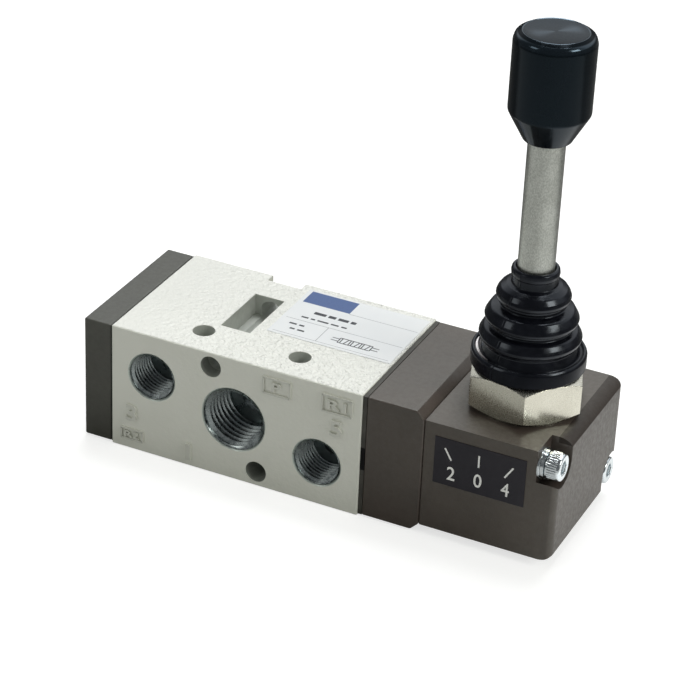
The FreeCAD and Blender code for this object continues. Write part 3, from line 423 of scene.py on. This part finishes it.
LOOKS = {
    "white_coat": white_coat(),
    # The cover's coat is the same brown paint with a greener base colour, a painted tint of reflected light.
    "cover_coat": brown_coat("cover_coat", (0.051, 0.049, 0.039), tint=(0.97, 1.0, 0.97)),
    "brown_coat": brown_coat("brown_coat", (0.059, 0.042, 0.0355)),
    # The band over the housing's top right edge carries painted shade.
    "housing_coat": brown_coat("housing_coat", (0.063, 0.046, 0.0385),
                               [("X", HOUSING_END - 2.85, HOUSING_END + 0.10),
                                ("Z", HOUSING_TOP - 1.25, HOUSING_TOP + 0.05)]),
    "zinc": metal("zinc_plate", (0.66, 0.71, 0.73), (0.80, 0.85, 0.87), 0.21, grain_size=0.6,
                  depth=0.004, spread=0.08),
    "nickel": metal("nickel_plate", (0.53, 0.51, 0.43), (0.715, 0.695, 0.60), 0.25, grain_size=0.20,
                    depth=0.0025, spread=0.08),
    # Bright metal of the painted highlight crescent in the skirt's groove.
    "highlight_crescent_metal": metal("highlight_crescent_metal", (0.84, 0.79, 0.77), (0.94, 0.90, 0.88), 0.34, grain_size=0.3,
                         depth=0.001),
    "satin_steel": metal("satin_steel", (0.455, 0.47, 0.43), (0.75, 0.765, 0.72), 0.43, (1, 1, 1.6),
                         0.22, 0.008),
    "polished": metal("polished_steel", (0.60, 0.60, 0.62), (0.80, 0.80, 0.82), 0.14),
    "aluminium": metal("turned_aluminium", (0.60, 0.61, 0.63), (0.78, 0.79, 0.80), 0.26, (6, 1, 1)),
    "brass": metal("turned_brass", (0.62, 0.45, 0.20), (0.80, 0.62, 0.32), 0.24),
    # The cut threads' dark tone is painted shade for the inside of the ports.
    "cut_thread": metal("cut_thread", (0.33, 0.375, 0.38), (0.55, 0.60, 0.60), 0.29, grain_size=0.9,
                        depth=0.002),
    "boot_rubber": rubber("boot_rubber", (0.0036, 0.0040, 0.0065), 0.17, 0.9, 0.004, SKIRT_TOP),
    "seal_rubber": rubber("seal_rubber", (0.012, 0.012, 0.012), 0.45),
    # Near-black matter for the block of painted shade in the gasket's slot.
    "slot_shade_black": rubber("slot_shade_black", (0.0005, 0.0005, 0.0005), 1.0, 0.3, 0.02),
    "brown_gasket": rubber("brown_gasket", (0.045, 0.043, 0.036), 0.60, 0.3, 0.01),
    "gasket": rubber("gasket_rubber", (0.012, 0.016, 0.012), 0.6, 0.3, 0.03),
    "knob": knob_gloss(),
    "black_film": film("black_film", (0.0085, 0.0065, 0.0135), 0.45, 0.02),
    # Darker than the white enamel: painted shade for the raised figures of the casting.
    "mark_coat": film("mark_coat", (0.665, 0.67, 0.61), 0.44, 0.02),
    "white_print": film("white_print", (0.94, 0.94, 0.92), 0.5),
    "dark_print": film("dark_print", (0.030, 0.034, 0.042), 0.5),
    "foil": foil_label(),
}

NODE_LOOKS = {
    "valve_body": "white_coat", "end_cover": "cover_coat", "adapter_block": "brown_coat",
    "lever_housing": "housing_coat", "cover_gasket": "gasket", "adapter_gasket": "brown_gasket",
    "cover_screws": "zinc", "adapter_screws": "zinc", "housing_screws": "zinc",
    "flat_washers": "zinc", "spring_washers": "zinc", "rod_seal": "seal_rubber",
    "detent_ring": "seal_rubber", "spool_seals": "seal_rubber", "detent_cage": "brass",
    "detent_balls": "polished", "spool": "aluminium", "spool_yoke": "satin_steel",
    "yoke_pin": "polished", "pivot_seat": "brass", "pivot_pin": "polished",
    "lever_ball": "polished", "gland_nut": "nickel", "boot": "boot_rubber",
    "lever_rod": "satin_steel", "knob": "knob", "knob_insert": "brass",
    "position_label": "black_film", "rating_label": "foil",
}

for name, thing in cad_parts.items():
    thing.data.materials.clear()
    thing.data.materials.append(LOOKS[NODE_LOOKS[name]])


# Shapes.


def heal(mesh, distance):
    """Joins doubled corners and turns all faces outwards."""
    edit = bmesh.new()
    edit.from_mesh(mesh)
    bmesh.ops.remove_doubles(edit, verts=edit.verts, dist=distance)
    bmesh.ops.recalc_face_normals(edit, faces=edit.faces)
    edit.to_mesh(mesh)
    edit.free()


def placed(mesh, name, look, crease):
    """An object in the scene with one look, smooth except over sharp creases."""
    mesh.materials.clear()
    mesh.materials.append(LOOKS[look])
    mesh.shade_smooth()
    mesh.set_sharp_from_angle(angle=math.radians(crease))
    thing = bpy.data.objects.new(name, mesh)
    bpy.context.scene.collection.objects.link(thing)
    return thing


def solid(name, vertices, faces, look, body="valve", crease=35.0):
    """A mesh piece from millimetre vertices, which rides a body if one is given."""
    mesh = bpy.data.meshes.new(name)
    mesh.from_pydata([Vector(v) * MM for v in vertices], [], faces)
    heal(mesh, 1e-7)
    thing = placed(mesh, name, look, crease)
    if body:
        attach(thing, body)
    return thing


def rounded(points, steps=5):
    """A polyline of (radius, height, rounding) with each given corner turned into an arc."""
    line = []
    for number, point in enumerate(points):
        here = Vector(point[:2])
        radius = point[2] if len(point) > 2 else 0.0
        if radius == 0 or number in (0, len(points) - 1):
            line.append(tuple(here))
            continue
        before = Vector(points[number - 1][:2]) - here
        after = Vector(points[number + 1][:2]) - here
        half = before.angle(after) / 2
        cut = min(radius / math.tan(half), 0.49 * before.length, 0.49 * after.length)
        start = here + before.normalized() * cut
        middle = here + (before.normalized() + after.normalized()).normalized() * cut / math.cos(half)
        spoke = start - middle
        turn = spoke.angle_signed(here + after.normalized() * cut - middle)
        for step in range(steps + 1):
            angle = -turn * step / steps
            line.append((middle.x + spoke.x * math.cos(angle) - spoke.y * math.sin(angle),
                         middle.y + spoke.x * math.sin(angle) + spoke.y * math.cos(angle)))
    return line


def circle(radius, height, count):
    """A ring of points about the Z axis."""
    return [(radius * math.cos(2 * math.pi * step / count), radius * math.sin(2 * math.pi * step / count),
             height) for step in range(count)]


def loft(rings):
    """Quads between closed rings of equally many points; a ring of one point ends in a fan."""
    vertices = []
    faces = []
    starts = []
    for ring in rings:
        starts.append(len(vertices))
        vertices.extend(ring)
    for low in range(len(rings) - 1):
        first, second = rings[low], rings[low + 1]
        count = max(len(first), len(second))
        for step in range(count):
            after = (step + 1) % count
            quad = [starts[low] + (step if len(first) > 1 else 0),
                    starts[low] + (after if len(first) > 1 else 0),
                    starts[low + 1] + (after if len(second) > 1 else 0),
                    starts[low + 1] + (step if len(second) > 1 else 0)]
            faces.append(list(dict.fromkeys(quad)))
    return vertices, faces


def turned(name, outline, look, body="valve", count=144, shift=None, crease=35.0):
    """A body of revolution about the lever's line. shift moves a radius by its angle."""
    rings = []
    for radius, height in outline:
        if radius < 1e-6:
            rings.append([(LEVER_X, 0, height)])
            continue
        ring = []
        for step in range(count):
            angle = 2 * math.pi * step / count
            size = radius + (shift(angle) if shift else 0.0)
            ring.append((LEVER_X + size * math.cos(angle), size * math.sin(angle), height))
        rings.append(ring)
    return solid(name, *loft(rings), look, body, crease)


def soften(name, width):
    """Rounds the edges of a CAD node with modifiers only."""
    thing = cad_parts[name]
    weld = thing.modifiers.new("weld", "WELD")
    weld.merge_threshold = 1e-6
    bevel = thing.modifiers.new("edge_break", "BEVEL")
    bevel.width = width * MM
    bevel.segments = 3
    bevel.limit_method = "ANGLE"
    bevel.angle_limit = math.radians(25.0)
    bevel.harden_normals = True
    bevel.use_clamp_overlap = True
    normals = thing.modifiers.new("normals", "WEIGHTED_NORMAL")
    normals.keep_sharp = False
    normals.weight = 100


for name, width in (("valve_body", 0.06), ("end_cover", 0.07), ("adapter_block", 0.07),
                    ("lever_housing", 0.08), ("gland_nut", 0.09)):
    soften(name, width)


def mould_seam(angle):
    """Two fine upright seams of the bellows' mould, each a groove between low ridges."""
    for middle in (-107.0, 73.0):
        off = abs((math.degrees(angle) - middle + 180) % 360 - 180)
        if off < 0.9:
            return -0.07
        if off < 2.6:
            return 0.035
    return 0.0


def boot():
    """Bellows: skirt, three beaded folds with full shoulders, and a collar round the shaft."""
    points = [
        (9.4, NUT_TOP + 0.02), (10.7, NUT_TOP + 0.02, 0.2), (10.98, 33.6, 0.3), (10.98, 36.1, 0.7),
        (10.62, 36.65, 0.3), (10.3, 36.55, 0.25), (10.0, 36.1, 0.3), (9.55, 36.15, 0.3), (8.9, 38.0, 0.5),
        (9.0, 38.7, 0.2), (9.6, 38.9, 0.4), (9.78, 39.7, 0.5), (9.45, 40.35, 0.5), (8.9, 41.25, 0.8),
        (7.7, 41.6, 0.3), (7.75, 42.1, 0.2), (8.25, 42.3, 0.15), (8.3, 42.75, 0.15), (8.8, 42.95, 0.3),
        (8.93, 43.5, 0.5), (8.65, 44.1, 0.5), (7.9, 45.4, 0.9), (6.1, 45.9, 0.3), (6.15, 46.4, 0.2),
        (6.55, 46.6, 0.15), (6.6, 47.1, 0.15), (6.98, 47.4, 0.3), (7.1, 48.0, 0.4), (6.9, 48.65, 0.5),
        (6.3, 49.55, 0.7), (5.2, 50.15, 0.3), (4.36, 50.4, 0.2), (4.34, 51.95, 0.12), (4.52, 52.15, 0.2),
        (4.60, 52.8, 0.5), (4.48, 53.45, 0.4), (4.15, 53.75, 0.25), (3.80, 53.74, 0.12), (3.64, 53.3),
    ]
    thing = turned("boot_bellows", rounded(points), "boot_rubber", None, 320, mould_seam, 50.0)
    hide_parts("boot")
    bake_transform(thing)


def highlight_crescent():
    """Painted highlight: a bright metal crescent in the skirt's groove, standing in for a reflection there.
    """
    start, sweep, steps = 186, 54, 28
    middle, low, high = 9.84, SKIRT_TOP, SKIRT_TOP + 0.3
    rings = []
    for step in range(steps + 1):
        share = step / steps
        angle = math.radians(start + sweep * share)
        half = 0.06 + 0.42 * math.sin(math.pi * share) ** 0.7
        section = [(middle - half, low), (middle - 0.4 * half, high), (middle + 0.5 * half, high),
                   (middle + half, low - 0.05)]
        rings.append([(LEVER_X + radius * math.cos(angle), radius * math.sin(angle), height)
                      for radius, height in section])
    vertices, faces = loft(rings)
    faces += [[0, 1, 2, 3], [len(vertices) - corner for corner in (1, 2, 3, 4)]]
    solid("highlight_crescent", vertices, faces, "highlight_crescent_metal")


def knob():
    """Knob with a conical foot, a full shoulder and a flat polished crown."""
    points = [
        (3.56, 79.62), (4.45, 79.62, 0.1), (4.62, 79.8, 0.15), (7.63, 85.2, 1.4),
        (7.63, 98.6, 1.4), (7.26, 99.80, 1.1), (6.04, 100.48, 0.22), (5.88, 100.40, 0.06),
        (5.80, 100.38), (0.0, 100.40),
    ]
    thing = turned("lever_knob", rounded(points, 8), "knob", "lever", 192, crease=60.0)
    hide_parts("knob")


def shaft():
    """Round shaft from the ball's mouth up into the knob's foot, with closely set rings."""
    radius, foot, head, spacing = 3.5, 28.32, 80.15, 0.5
    outline = [(radius - 0.01, foot - 0.02)]
    outline += [(radius, foot + spacing * step) for step in range(int((head - foot) / spacing))]
    outline += [(radius, head), (radius - 0.95, head + 0.04)]
    thing = turned("lever_shaft", outline, "satin_steel", "lever", 96)
    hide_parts("lever_rod")


def oriented(points, place, axis):
    """Turns points made about +Z so that Z runs along the axis, then moves them."""
    turn = Vector((0, 0, 1)).rotation_difference(Vector(axis)).to_matrix()
    return [tuple(turn @ Vector(point) + Vector(place)) for point in points]


def joined_mesh(pieces):
    vertices = []
    faces = []
    for points, quads in pieces:
        start = len(vertices)
        vertices.extend(points)
        faces.extend([[corner + start for corner in face] for face in quads])
    return vertices, faces


def screw_head(place, axis):
    """Socket head with a knurled side, a rounded crown edge and a hexagonal socket."""
    teeth, groove = 36, 0.11
    count = teeth * 4
    sunk = (1, 0, 0, 1)

    def knurled(radius, height):
        ring = []
        for step in range(count):
            angle = 2 * math.pi * step / count
            size = radius - groove * sunk[step % 4]
            ring.append((size * math.cos(angle), size * math.sin(angle), height))
        return ring

    def hexagon(flat, height):
        ring = []
        for step in range(count):
            angle = 2 * math.pi * step / count
            inside = (angle + math.pi / 6) % (math.pi / 3) - math.pi / 6
            size = flat / math.cos(inside)
            ring.append((size * math.cos(angle), size * math.sin(angle), height))
        return ring

    shank = [circle(radius, height, count) for radius, height in ((1.5, -6.0), (1.5, 0.0), (2.5, 0.0),
                                                                  (2.66, 0.12), (2.70, 0.45))]
    crown = [circle(radius, height, count) for radius, height in ((2.70, 2.36), (2.66, 2.74), (2.52, 2.92),
                                                                  (2.30, 3.0), (1.62, 3.0), (1.55, 2.97))]
    socket = [hexagon(flat, height) for flat, height in ((1.30, 2.88), (1.25, 2.72), (1.25, 1.35),
                                                         (0.9, 1.2))]
    rings = shank + [knurled(2.75, 0.58), knurled(2.75, 2.2)] + crown + socket + [[(0, 0, 1.0)]]
    vertices, faces = loft(rings)
    return oriented(vertices, place, axis), faces


def flat_ring(place, axis, inner, outer, height):
    """Flat washer with broken edges."""
    bevel, count = 0.06, 72
    outline = [(inner, bevel), (inner + bevel, 0.0), (outer - bevel, 0.0), (outer, bevel),
               (outer, height - bevel), (outer - bevel, height), (inner + bevel, height),
               (inner, height - bevel), (inner, bevel)]
    vertices, faces = loft([circle(radius, level, count) for radius, level in outline])
    return oriented(vertices, place, axis), faces


def split_ring(place, axis, inner, outer, height, cut):
    """Spring washer: a ring cut through at an angle in degrees, with its ends slightly offset."""
    count, gap, offset, play = 72, 12, 0.10, 0.06
    sections = []
    for step in range(count + 1):
        share = step / count
        angle = math.radians(cut + gap / 2 + (360 - gap) * share)
        rise = offset * (share - 0.5)
        section = [(inner, play), (outer, play), (outer, height - play), (inner, height - play)]
        sections.append([(radius * math.cos(angle), radius * math.sin(angle), level + rise)
                         for radius, level in section])
    vertices, faces = loft(sections)
    faces.append([0, 1, 2, 3])
    faces.append([len(vertices) - 4 + corner for corner in range(4)])
    return oriented(vertices, place, axis), faces


def fasteners():
    """Dressed screw heads and washers in place of their plain CAD solids."""
    outwards = (1, 0, 0)
    head_seat = WASHER_SEAT + FLAT_WASHER + SPRING_WASHER
    heads = joined_mesh([screw_head((head_seat, y, z), outwards) for y, z in HOUSING_SCREWS])
    thing = solid("housing_screw_heads", *heads, "zinc")
    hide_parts("housing_screws")
    flats = joined_mesh([flat_ring((WASHER_SEAT, y, z), outwards, 1.7, 3.1, FLAT_WASHER)
                         for y, z in HOUSING_SCREWS])
    thing = solid("washers_flat", *flats, "zinc")
    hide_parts("flat_washers")
    springs = joined_mesh([split_ring((WASHER_SEAT + FLAT_WASHER, y, z), outwards, 1.7, 2.9,
                                      SPRING_WASHER, cut)
                           for (y, z), cut in zip(HOUSING_SCREWS, (70, 250))])
    thing = solid("washers_spring", *springs, "zinc")
    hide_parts("spring_washers")
    heads = joined_mesh([screw_head((COVER_FACE + COUNTERBORE, y, z), (-1, 0, 0)) for y, z in COVER_SCREWS])
    thing = solid("cover_screw_heads", *heads, "zinc")
    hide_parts("cover_screws")


def thread(name, x, y, z, way, kind):
    """Internal pipe thread as one helical ribbon, which fades out at the mouth and ends at the bottom."""
    major, minor, pitch, depth = THREADS[kind]
    around = 96
    mouth, fade_start, fade_end = 0.05, 0.15, 0.75
    outline = [(0.0, major), (0.10, major), (0.42, minor), (0.58, minor), (0.90, major), (1.0, major)]
    width = len(outline)
    steps = (int(depth / pitch) + 3) * around
    vertices = []
    for step in range(steps + 1):
        angle = 2 * math.pi * step / around
        for share, radius in outline:
            along = pitch * (step / around + share - 1)
            full = min(max((along - fade_start) / (fade_end - fade_start), 0.0), 1.0)
            size = major - (major - radius) * full
            along = min(max(along, mouth), depth)
            vertices.append((x + size * math.cos(angle), y - way * along, z + size * math.sin(angle)))
    faces = []
    for step in range(steps):
        for side in range(width - 1):
            low = step * width + side
            faces.append([low, low + 1, low + width + 1, low + width])
    thing = solid("thread_" + name, vertices, faces, "cut_thread", crease=28.0)
    edit = bmesh.new()
    edit.from_mesh(thing.data)
    bmesh.ops.dissolve_degenerate(edit, edges=edit.edges, dist=1e-7)
    edit.to_mesh(thing.data)
    edit.free()


def laid(plane, across, up, out):
    """A point of a drawing on a face: to the reader's right, up, and out of the face."""
    if plane == "front":
        return Vector((across, -out, up))
    if plane == "back":
        return Vector((-across, out, up))
    return Vector((across, up, out))


def glyph(name, text, look, plane, middle, width, height, depth, offset):
    """Characters as a mesh, fitted to a width and height on a face."""
    curve = bpy.data.curves.new(name, "FONT")
    curve.body = text
    curve.extrude = 0.05
    curve.offset = offset
    curve.resolution_u = 6
    source = bpy.data.objects.new(name + "_source", curve)
    bpy.context.scene.collection.objects.link(source)
    bpy.context.view_layer.update()
    shape = bpy.data.meshes.new_from_object(source.evaluated_get(bpy.context.evaluated_depsgraph_get()))
    bpy.data.objects.remove(source)
    low = [min(vertex.co[side] for vertex in shape.vertices) for side in range(3)]
    high = [max(vertex.co[side] for vertex in shape.vertices) for side in range(3)]
    for vertex in shape.vertices:
        share = [(vertex.co[side] - low[side]) / (high[side] - low[side]) for side in range(3)]
        spot = laid(plane, (share[0] - 0.5) * width, (share[1] - 0.5) * height, share[2] * depth)
        vertex.co = (Vector(middle) + spot) * MM
    heal(shape, 1e-8)
    shape.name = name
    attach(placed(shape, name, look, 30.0), "valve")


def bar(start, end, width, thick, plane, level):
    """A straight raised stroke between two points of the front or the top face."""
    first, second = Vector(start), Vector(end)
    along = (second - first).normalized()
    side = Vector((-along.y, along.x)) * width / 2
    base = Vector((0, level, 0)) if plane == "front" else Vector((0, 0, level))
    vertices = []
    for out in (0.0, thick):
        for corner in (first - side, second - side, second + side, first + side):
            vertices.append(base + laid(plane, corner.x, corner.y, out))
    faces = [[0, 1, 2, 3], [4, 5, 6, 7], [0, 1, 5, 4], [1, 2, 6, 5], [2, 3, 7, 6], [3, 0, 4, 7]]
    return vertices, faces


def outline_bars(low_x, high_x, low_y, high_y, width, thick, plane, level):
    """The four strokes of a rectangle."""
    corners = [(low_x, low_y), (high_x, low_y), (high_x, high_y), (low_x, high_y)]
    return [bar(corners[number], corners[(number + 1) % 4], width, thick, plane, level)
            for number in range(4)]


def label_print():
    """Plain ruled strokes and a generic valve symbol on the foil label."""
    level = TOP + LABEL_THICKNESS
    ink, line, gap = 0.012, 0.22, 0.55
    bold, plain = 0.95, 0.5
    rows = [(6.9, -11.6, bold, (2.6, 1.6, 2.2, 1.1)), (4.35, -13.2, plain, (1.5, 0.9, 2.4, 1.7, 1.2)),
            (1.0, -14.2, plain, (1.6, 1.1)), (-0.9, -13.2, plain, (1.1, 1.5))]
    pieces = []
    for y, x, weight, lengths in rows:
        for length in lengths:
            pieces.append(bar((x, y), (x + length, y), weight, ink, "top", level))
            x += length + gap

    # Symbol: three boxes in a row, each with two passages, and an actuator at either end.
    left, low, side, height = -2.6, -1.5, 2.3, 1.9
    for number in range(3):
        x = left + side * number
        pieces += outline_bars(x, x + side, low, low + height, line, ink, "top", level)
        for foot, head in ((0.5, 0.5), (1.3, 1.8)):
            pieces.append(bar((x + foot, low), (x + head, low + height), line, ink, "top", level))
    reach = 1.6
    for x in (left - reach, left + 3 * side):
        for rise in (0.5, 1.4):
            pieces.append(bar((x, low + rise), (x + reach, low + rise), line, ink, "top", level))
    solid("label_strokes", *joined_mesh(pieces), "dark_print")


def marks():
    """Print of the position label, and the raised figures of the casting."""
    level = HOUSING_FRONT - LABEL_THICKNESS
    ticks = [((27.63, 20.37), (29.01, 18.02)), ((34.55, 20.75), (34.57, 18.15)),
             ((41.49, 20.17), (39.87, 17.64))]
    strokes = joined_mesh([bar(head, foot, 0.34, 0.02, "front", level) for head, foot in ticks])
    solid("position_ticks", *strokes, "white_print")
    for text, x, z in (("2", 29.1, 15.15), ("0", 34.56, 15.24), ("4", 40.15, 15.07)):
        glyph("position_" + text, text, "white_print", "front", (x, level, z), 1.62, 2.9, 0.02, 0.010)

    sunk = 0.02
    # The raised figures and frames take a coat darker than the white enamel, as painted shade for their
    # relief.
    raised = [("5", 5.3, 18.2, 2.5, 3.5), ("1", -26.5, 3.4, 1.1, 3.7), ("3", -39.4, 8.5, 2.4, 3.7),
              ("P", -7.55, 23.5, 1.9, 2.1), ("R1", 5.3, 23.3, 4.0, 2.1), ("R2", -39.3, 3.45, 3.2, 1.5)]
    for text, x, z, width, height in raised:
        glyph("cast_" + text, text, "mark_coat", "front", (x, FRONT + sunk, z), width, height, 0.55, 0.020)
    for text, x in (("2", BODY_X - WORKING_PITCH), ("4", BODY_X + WORKING_PITCH)):
        glyph("cast_" + text, text, "white_coat", "back", (x, BACK - sunk, 3.4), 2.2, 3.2, 0.30, -0.015)
    frames = []
    for limits in ((-10.4, -4.7, 21.8, 25.2), (2.2, 8.4, 21.5, 25.1), (-41.7, -36.9, 2.3, 4.6)):
        frames += outline_bars(*limits, 0.40, 0.42, "front", FRONT + sunk)
    solid("cast_frames", *joined_mesh(frames), "mark_coat")


def slot_shade():
    """A near-black block set just inside the breathing slot of the adapter gasket: painted shade for the dark
    inside of the slot.
    """
    across = (BODY_END + 0.02, BODY_END + 0.88)
    deep = (FRONT + 0.30, FRONT + 2.85)
    up = (10.42, 15.28)
    corners = [(x, y, z) for x in across for y in deep for z in up]
    faces = [[0, 1, 3, 2], [4, 5, 7, 6], [0, 1, 5, 4], [2, 3, 7, 6], [0, 2, 6, 4], [1, 3, 7, 5]]
    solid("slot_shade_block", corners, faces, "slot_shade_black")


for port in PORTS:
    thread(*port)
boot()
highlight_crescent()
knob()
shaft()
fasteners()
marks()
label_print()
slot_shade()


# Stage, lamps and camera, in metres.


def combine(tree, operation, *values):
    """A math node of sockets and numbers."""
    made = tree.nodes.new("ShaderNodeMath")
    made.operation = operation
    for socket, value in zip(made.inputs, values):
        if isinstance(value, bpy.types.NodeSocket):
            tree.links.new(value, socket)
        else:
            socket.default_value = value
    return made.outputs[0]


def ramp(tree, value, low, high, falling=False):
    """A smooth step from 0 to 1 while the value goes from low to high, or from 1 to 0."""
    made = tree.nodes.new("ShaderNodeMapRange")
    made.interpolation_type = "SMOOTHSTEP"
    tree.links.new(value, made.inputs["Value"])
    made.inputs["From Min"].default_value = low
    made.inputs["From Max"].default_value = high
    made.inputs["To Min"].default_value = 1.0 if falling else 0.0
    made.inputs["To Max"].default_value = 0.0 if falling else 1.0
    return made.outputs["Result"]


def window(tree, value, rise, fall):
    """1 between a rise and a fall, each a pair of limits."""
    return combine(tree, "MULTIPLY", ramp(tree, value, *rise), ramp(tree, value, *fall, falling=True))


def position(tree, kind):
    """Separated axes of one kind of texture coordinate."""
    where = tree.nodes.new("ShaderNodeTexCoord")
    parts = tree.nodes.new("ShaderNodeSeparateXYZ")
    tree.links.new(where.outputs[kind], parts.inputs[0])
    return parts.outputs


def mixed(tree, factor, first, second):
    """A colour between two greys or tints."""
    made = tree.nodes.new("ShaderNodeMix")
    made.data_type = "RGBA"
    made.inputs[6].default_value = (*first, 1)
    made.inputs[7].default_value = (*second, 1)
    tree.links.new(factor, made.inputs[0])
    return made.outputs[2]


def seen_ray(tree, path):
    """1 for what the camera sees, straight or through something clear."""
    return combine(tree, "MAXIMUM", path.outputs["Is Camera Ray"], path.outputs["Is Transmission Ray"])


def floor_shade():
    """Pale floor, white to the camera, which keeps the shadow and shows in gloss beside the valve."""
    material = bpy.data.materials.new("floor")
    material.use_nodes = True
    tree = material.node_tree
    surface = tree.nodes["Principled BSDF"]
    surface.inputs["Roughness"].default_value = 0.9
    surface.inputs["Specular IOR Level"].default_value = 0.1
    path = tree.nodes.new("ShaderNodeLightPath")
    place = position(tree, "Object")

    # In gloss only: a bright patch of light painted on the floor to the right of the valve, and painted shade
    # on the floor to its left and behind it.
    glossy_light_pool = combine(tree, "MULTIPLY", window(tree, place["X"], (0.03, 0.065), (0.105, 0.125)),
                   window(tree, place["Y"], (-0.09, -0.03), (0.045, 0.075)))
    left = combine(tree, "SUBTRACT", 1.0, ramp(tree, place["X"], 0.0, 0.06))
    glossy_shade = combine(tree, "MULTIPLY", ramp(tree, place["Y"], -0.06, 0.0), left)
    behind = combine(tree, "MULTIPLY", ramp(tree, place["Y"], 0.05, 0.09), 0.85)
    glossy_shade = combine(tree, "MAXIMUM", glossy_shade, behind)
    shade = mixed(tree, combine(tree, "MULTIPLY", path.outputs["Is Glossy Ray"], glossy_shade),
                  (0.52, 0.52, 0.52), (0.09, 0.09, 0.09))
    tree.links.new(shade, surface.inputs["Base Color"])

    glow = tree.nodes.new("ShaderNodeEmission")
    glow.inputs["Color"].default_value = (1, 1, 1, 1)
    gloss = combine(tree, "MULTIPLY", path.outputs["Is Glossy Ray"], glossy_light_pool)
    lit = combine(tree, "MAXIMUM", seen_ray(tree, path), gloss)
    tree.links.new(combine(tree, "MULTIPLY", lit, 0.68), glow.inputs["Strength"])
    add = tree.nodes.new("ShaderNodeAddShader")
    tree.links.new(surface.outputs[0], add.inputs[0])
    tree.links.new(glow.outputs[0], add.inputs[1])
    tree.links.new(add.outputs[0], tree.nodes["Material Output"].inputs["Surface"])
    return material


def floor():
    reach, drop = 3.0, 0.00005
    mesh = bpy.data.meshes.new("floor")
    corners = [(-reach, -reach, -drop), (reach, -reach, -drop), (reach, reach, -drop), (-reach, reach, -drop)]
    mesh.from_pydata(corners, [], [[0, 1, 2, 3]])
    thing = bpy.data.objects.new("floor", mesh)
    bpy.context.scene.collection.objects.link(thing)
    mesh.materials.append(floor_shade())


def studio():
    """White to the camera; in gloss a white sweep behind the valve under a dim ceiling."""
    world = bpy.data.worlds.new("studio")
    bpy.context.scene.world = world
    world.use_nodes = True
    tree = world.node_tree
    path = tree.nodes.new("ShaderNodeLightPath")
    glossy = path.outputs["Is Glossy Ray"]
    place = position(tree, "Generated")
    plain, ceiling = 0.30, 0.12
    sweep = combine(tree, "MULTIPLY", ramp(tree, place["Z"], 0.12, 0.45), ramp(tree, place["Y"], 0.0, 0.55))
    change = combine(tree, "ADD", combine(tree, "MULTIPLY", sweep, 0.85), ceiling - plain)
    strength = combine(tree, "ADD", combine(tree, "MULTIPLY", glossy, change), plain)
    fill = tree.nodes["Background"]
    tree.links.new(strength, fill.inputs["Strength"])
    tree.links.new(mixed(tree, glossy, (0.97, 1.0, 0.93), (0.94, 0.97, 1.0)), fill.inputs["Color"])

    white = tree.nodes.new("ShaderNodeBackground")
    white.inputs["Color"].default_value = (1, 1, 1, 1)
    white.inputs["Strength"].default_value = 1.0
    choose = tree.nodes.new("ShaderNodeMixShader")
    tree.links.new(seen_ray(tree, path), choose.inputs[0])
    tree.links.new(fill.outputs[0], choose.inputs[1])
    tree.links.new(white.outputs[0], choose.inputs[2])
    tree.links.new(choose.outputs[0], tree.nodes["World Output"].inputs["Surface"])


def lamp(name, place, size, power, colour):
    """A rectangular lamp that faces the middle of the valve."""
    data = bpy.data.lights.new(name, "AREA")
    data.shape = "RECTANGLE"
    data.size, data.size_y = size
    data.energy = power
    data.color = colour
    thing = bpy.data.objects.new(name, data)
    thing.location = place
    towards = Vector((0.0, 0.0, 0.03)) - Vector(place)
    thing.rotation_euler = towards.to_track_quat("-Z", "Y").to_euler()
    bpy.context.scene.collection.objects.link(thing)


def fitted_camera():
    """The camera that was fitted to the photograph: its own axes, its place and its lens."""
    data = bpy.data.cameras.new("camera")
    data.sensor_width = 36.0
    data.lens = 135.19
    data.clip_start = 0.01
    data.clip_end = 20.0
    right = Vector((0.90033358, 0.43324004, 0.04126155))
    down = Vector((0.24716523, -0.43099086, -0.86784574))
    forward = Vector((-0.35820217, 0.79154908, -0.49511742))
    turn = Matrix((right, -down, -forward)).transposed().to_4x4()
    camera = bpy.data.objects.new("camera", data)
    camera.matrix_world = Matrix.Translation(Vector((183.23, -405.78, 279.08)) * MM) @ turn
    bpy.context.scene.collection.objects.link(camera)
    bpy.context.scene.camera = camera


floor()
studio()
lamp("top_box", (-0.05, 0.28, 0.75), (0.40, 0.32), 3.8, (0.98, 0.99, 1.0))
lamp("right_box", (0.70, -0.09, 0.49), (0.30, 0.30), 2.1, (1.0, 1.0, 0.94))
lamp("left_box", (-0.45, -0.56, 0.45), (0.28, 0.32), 0.58, (1.0, 1.0, 0.96))
fitted_camera()
bpy.context.scene.view_settings.view_transform = "Standard"
